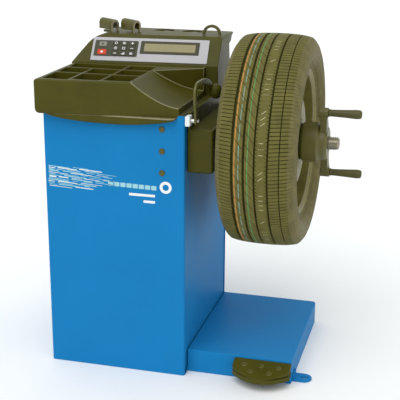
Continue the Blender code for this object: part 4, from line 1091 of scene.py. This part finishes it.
def gauge():
    """The distance rod with its marks, the nylon guide, the curved arm and the head that rests on the rim."""
    at = (0, GAUGE.y, GAUGE.z)
    rod = [(0.11, 0), (0.11, 0.0055), (0.1105, 0.006)]
    for number in range(30):
        x = 0.13 + 0.01 * number
        rod += [(x, 0.006), (x + 0.0003, 0.0058), (x + 0.0007, 0.0058), (x + 0.001, 0.006)]
    rod += [(0.4555, 0.006), (0.4555, 0.0035), (0.4655, 0.0035), (0.4655, 0.0055), (0.4672, 0.0055),
            (0.468, 0.0045), (0.468, 0.0018), (0.4668, 0.0015), (0.4668, 0)]
    piece("marked_rod", turned(rod, 32), STEEL, "gauge_slider", ["gauge_rod"], at)
    low, high = local_box("gauge_guide")
    guide = round_edges(block(low, high), 0.0022, 4, clamp=True)
    piece("nylon_guide", less(guide, disc("X", (GAUGE.y, GAUGE.z), 0.0063, 0.42, 0.46, 32)), NYLON,
          stands_for=["gauge_guide"])
    head = (HEAD.y - GAUGE.y, HEAD.z - GAUGE.z)
    spine = curve_through([(0.0, 0.0, 0.011), (-0.009, 0.04, 0.009), (-0.015, 0.072, 0.008),
                           (-0.008, 0.092, 0.008), (0.01, 0.101, 0.008), (0.05, 0.101, 0.008),
                           (0.095, 0.096, 0.009), (0.128, 0.085, 0.011), (0.15, 0.07, 0.014),
                           (*head, 0.016)], 4)
    left, right = [], []
    for i, (y, z, half) in enumerate(spine):
        before, after = spine[max(i - 1, 0)], spine[min(i + 1, len(spine) - 1)]
        along = Vector((after[0] - before[0], after[1] - before[1])).normalized()
        left.append((y - along.y * half, z + along.x * half))
        right.append((y + along.y * half, z - along.x * half))
    start = atan2(right[0][1], right[0][0])
    foot = circle((0, 0), 0.011, 14, start, -pi)[1:-1]
    end = atan2(left[-1][1] - head[1], left[-1][0] - head[0])
    tip = circle(head, 0.016, 14, end, -pi)[1:-1]
    arm = round_edges(prism([*left, *tip, *reversed(right), *foot], "X", 0.456, 0.464), 0.0022, 3, 50)
    arm = less(arm, disc("X", (0, 0), 0.0039, 0.44, 0.48, 24))
    piece("curved_arm", arm, SHINY, "gauge_swing_arm", ["gauge_arm"], at)
    knob = softened([(0.4643, 0), (0.4643, 0.018), (0.47, 0.0225), (0.4735, 0.0225), (0.4745, 0.0212),
                     (0.4765, 0.0212), (0.4775, 0.0225), (0.481, 0.0225), (0.488, 0.017), (0.4885, 0.015),
                     (0.4872, 0.013), (0.488, 0.011), (0.491, 0.009), (0.491, 0)], 0.0008, 3)
    piece("ringed_head", turned(knob, 56, head), MOULDING, "gauge_swing_arm", ["gauge_head"], at)


PEDAL_LEFT, PEDAL_RIGHT, PEDAL_REACH = 0.578, 0.752, 0.08


def pedal_outline(inset, y0):
    """The pedal's outline: straight at the back and a flat arc in front."""
    points = []
    for i in range(41):
        share = i / 40
        x = PEDAL_LEFT + 0.0005 + inset + (PEDAL_RIGHT - PEDAL_LEFT - 0.001 - 2 * inset) * share
        bow = sin(pi * (0.1 + 0.8 * share)) ** 0.75
        points.append((x, y0 - (PEDAL_REACH - inset) * bow))
    return [(PEDAL_RIGHT - 0.0005 - inset, y0), *reversed(points), (PEDAL_LEFT + 0.0005 + inset, y0)]


def pedal():
    """The rubber-faced pedal: a stepped skirt, a dark recess under the lip and five raised studs on top."""
    at = (0, PEDAL_AXIS.y, PEDAL_AXIS.z)
    y0, slope = PLATFORM_LOW.y - PEDAL_AXIS.y - 0.003, 0.3

    def top(y):
        return 0.027 + slope * (y - y0)

    # each ring's inset, its height, whether that is above the sloping top, and the least that it may be
    levels = ((0.0, -0.012, 0, -1), (0.0, 0.001, 0, -1), (0.006, 0.0025, 0, -1), (0.006, -0.0125, 1, 0.0035),
              (0.002, -0.011, 1, 0.0045), (0.0, -0.0095, 1, 0.0055), (0.0, -0.002, 1, -1),
              (0.0007, -0.0007, 1, -1), (0.002, 0.0, 1, -1))
    body = stack([[(x, y, max(least, height + top(y) * on_top)) for x, y in pedal_outline(inset, y0)]
                  for inset, height, on_top, least in levels])
    bosses = [block((x, y0 - 0.004, -0.011), (x + 0.022, 0.011, 0.01)) for x in (0.602, 0.711)]
    body = less(plus(body, *bosses), disc("X", (0, 0), 0.007 + GAP, 0.5, 0.8, 32))
    piece("pedal_moulding", body, MOULDING, "pedal", ["foot_pedal"], at)
    studs = []
    centre = (PEDAL_LEFT + PEDAL_RIGHT) / 2
    for x, y in ((-0.052, -0.024), (0.0, -0.024), (0.052, -0.024), (-0.028, -0.05), (0.028, -0.05)):
        dome = [(0.0018 * sin(a), 0.0085 * cos(a)) for a in (pi / 2 * i / 5 for i in range(5))]
        stud = turned([(-0.002, 0), (-0.002, 0.0088), *dome, (0.0018, 0)], 28)
        moved(stud, turn=-pi / 2, axis="Y")
        studs.append(moved(stud, (centre + x, y0 + y, top(y0 + y)), atan(slope), "X"))
    piece("pedal_studs", joined(*studs), SHINY, "pedal", at=at)


def electrics():
    """The mains inlet with its three prongs, and the rocker switch."""
    (low, high), inlet = local_box("mains_inlet"), middle("mains_inlet")
    x, z = inlet.x, inlet.z
    shell = block((x - 0.0155, low.y, z - 0.0135), (x + 0.0155, high.y, z + 0.0135))
    flange = block((low.x, CABINET_D + GAP, low.z), (high.x, high.y, high.z))
    flange = round_edges(flange, 0.0012, 3, where=lambda p: p.y > CABINET_D + 0.001, clamp=True)
    socket = prism(rounded((x - 0.012, z - 0.009), (x + 0.012, z + 0.008), 0.003), "Y", 0.495, 0.6)
    piece("inlet_socket_body", less(plus(shell, flange), socket), SHINY, stands_for=["mains_inlet"])
    prongs = []
    for right, up in ((-0.007, -0.002), (0.0, 0.003), (0.007, -0.002)):
        prong = block((x + right - 0.001, 0.494, z + up - 0.002), (x + right + 0.001, 0.51, z + up + 0.002))
        prongs.append(round_edges(prong, 0.0004, 2, clamp=True))
    piece("inlet_prongs", joined(*prongs), STEEL)
    hinge = next(Vector(j["pos_m"]) - FOOT for j in frame["joints"] if j["name"] == "power_rocker")
    outline = [(-0.006, -0.011), (0.0015, -0.0115), (0.006, -0.0105), (0.003, 0.0), (0.0025, 0.0105),
               (-0.006, 0.011)]
    rocker = round_edges(prism(outline, "X", -0.0085, 0.0085), 0.0007, 3, 20, clamp=True)
    piece("rocker_key", rocker, ROCKER, "rocker", ["power_switch"], tuple(hinge))
    dot = turned([(0, 0.0016), (0, 0.0023), (0.0003, 0.0023), (0.0003, 0.0016)], 24)
    piece("rocker_ring", moved(dot, (0, 0.0046, -0.006), pi / 2), WHITE, "rocker", at=tuple(hinge))


def inner_parts():
    """The parts inside the cabinet keep their CAD shape and get a finish."""
    repaint(CASTING, "spindle_housing", "spindle_bracket", "drive_motor")
    repaint(STEEL, "rear_bearing", "front_bearing", "force_sensor_1", "force_sensor_2")
    repaint(ALUMINIUM, "shaft_pulley", "motor_pulley")
    repaint(BELT, "drive_belt")
    repaint(ZINC, "brake_shaft", "brake_rod", "brake_lever")
    repaint(BOARD, "control_board")
    repaint(CASE, "power_supply")


# ---------------------------------------------------------------- stage, light and camera


def stage():
    bm = bmesh.new()
    bmesh.ops.create_grid(bm, x_segments=8, y_segments=8, size=30)
    mesh = bpy.data.meshes.new("floor")
    bm.to_mesh(mesh)
    bm.free()
    mesh.materials.append(FLOOR)
    floor = shown("floor", mesh)
    floor.location.z = -0.0005
    world = bpy.data.worlds.new("studio")
    world.use_nodes = True
    nodes, links = world.node_tree.nodes, world.node_tree.links
    sky = filled(nodes["Background"], {"Color": (0.985, 1.0, 1.0, 1), "Strength": 0.86})
    backdrop = filled(nodes.new("ShaderNodeBackground"), {"Color": (1, 1, 1, 1)})
    seen, mix = nodes.new("ShaderNodeLightPath"), nodes.new("ShaderNodeMixShader")
    for start, end in ((seen.outputs["Is Camera Ray"], mix.inputs[0]), (sky.outputs[0], mix.inputs[1]),
                       (backdrop.outputs[0], mix.inputs[2]),
                       (mix.outputs[0], nodes["World Output"].inputs["Surface"])):
        links.new(start, end)
    bpy.context.scene.world = world
    bpy.context.scene.view_settings.view_transform = "Standard"


def lights():
    """One large soft light high up in front, a little to the left."""
    lamp = bpy.data.lights.new("key", "SUN")
    lamp.angle = radians(50)
    lamp.energy = 1.2
    shown("key", lamp).rotation_euler = Vector((0.1, 0.62, -0.95)).to_track_quat("-Z", "Y").to_euler()


def camera():
    """The camera stands in front, to the right and above, and looks at the middle of the machine."""
    turn, pitch, roll = radians(15.0), radians(17.35), radians(0.33)
    target, distance = Vector((0.194, -0.005, 0.483)), 3.1
    back = Vector((sin(turn) * cos(pitch), -cos(turn) * cos(pitch), sin(pitch)))
    right = Vector((cos(turn), sin(turn), 0))
    up = back.cross(right)
    view_right = right * cos(roll) + up * sin(roll)
    view_up = up * cos(roll) - right * sin(roll)
    data = bpy.data.cameras.new("camera")
    data.lens = 89.04
    data.sensor_width = 36.0
    made = shown("camera", data)
    axes = Matrix((view_right, view_up, back)).transposed().to_4x4()
    made.matrix_world = Matrix.Translation(target + back * distance) @ axes
    bpy.context.scene.camera = made


# ---------------------------------------------------------------- the scene

for build in (cabinet_wrap, rear_cover, top_plate_and_plugs, front_graphic, base, weight_tray, housing, panel,
              shelf_loop_and_pegs, cover, shaft, tyre, tyre_marks, wheel, quick_nut, gauge, pedal, electrics,
              inner_parts, stage, lights, camera):
    build()
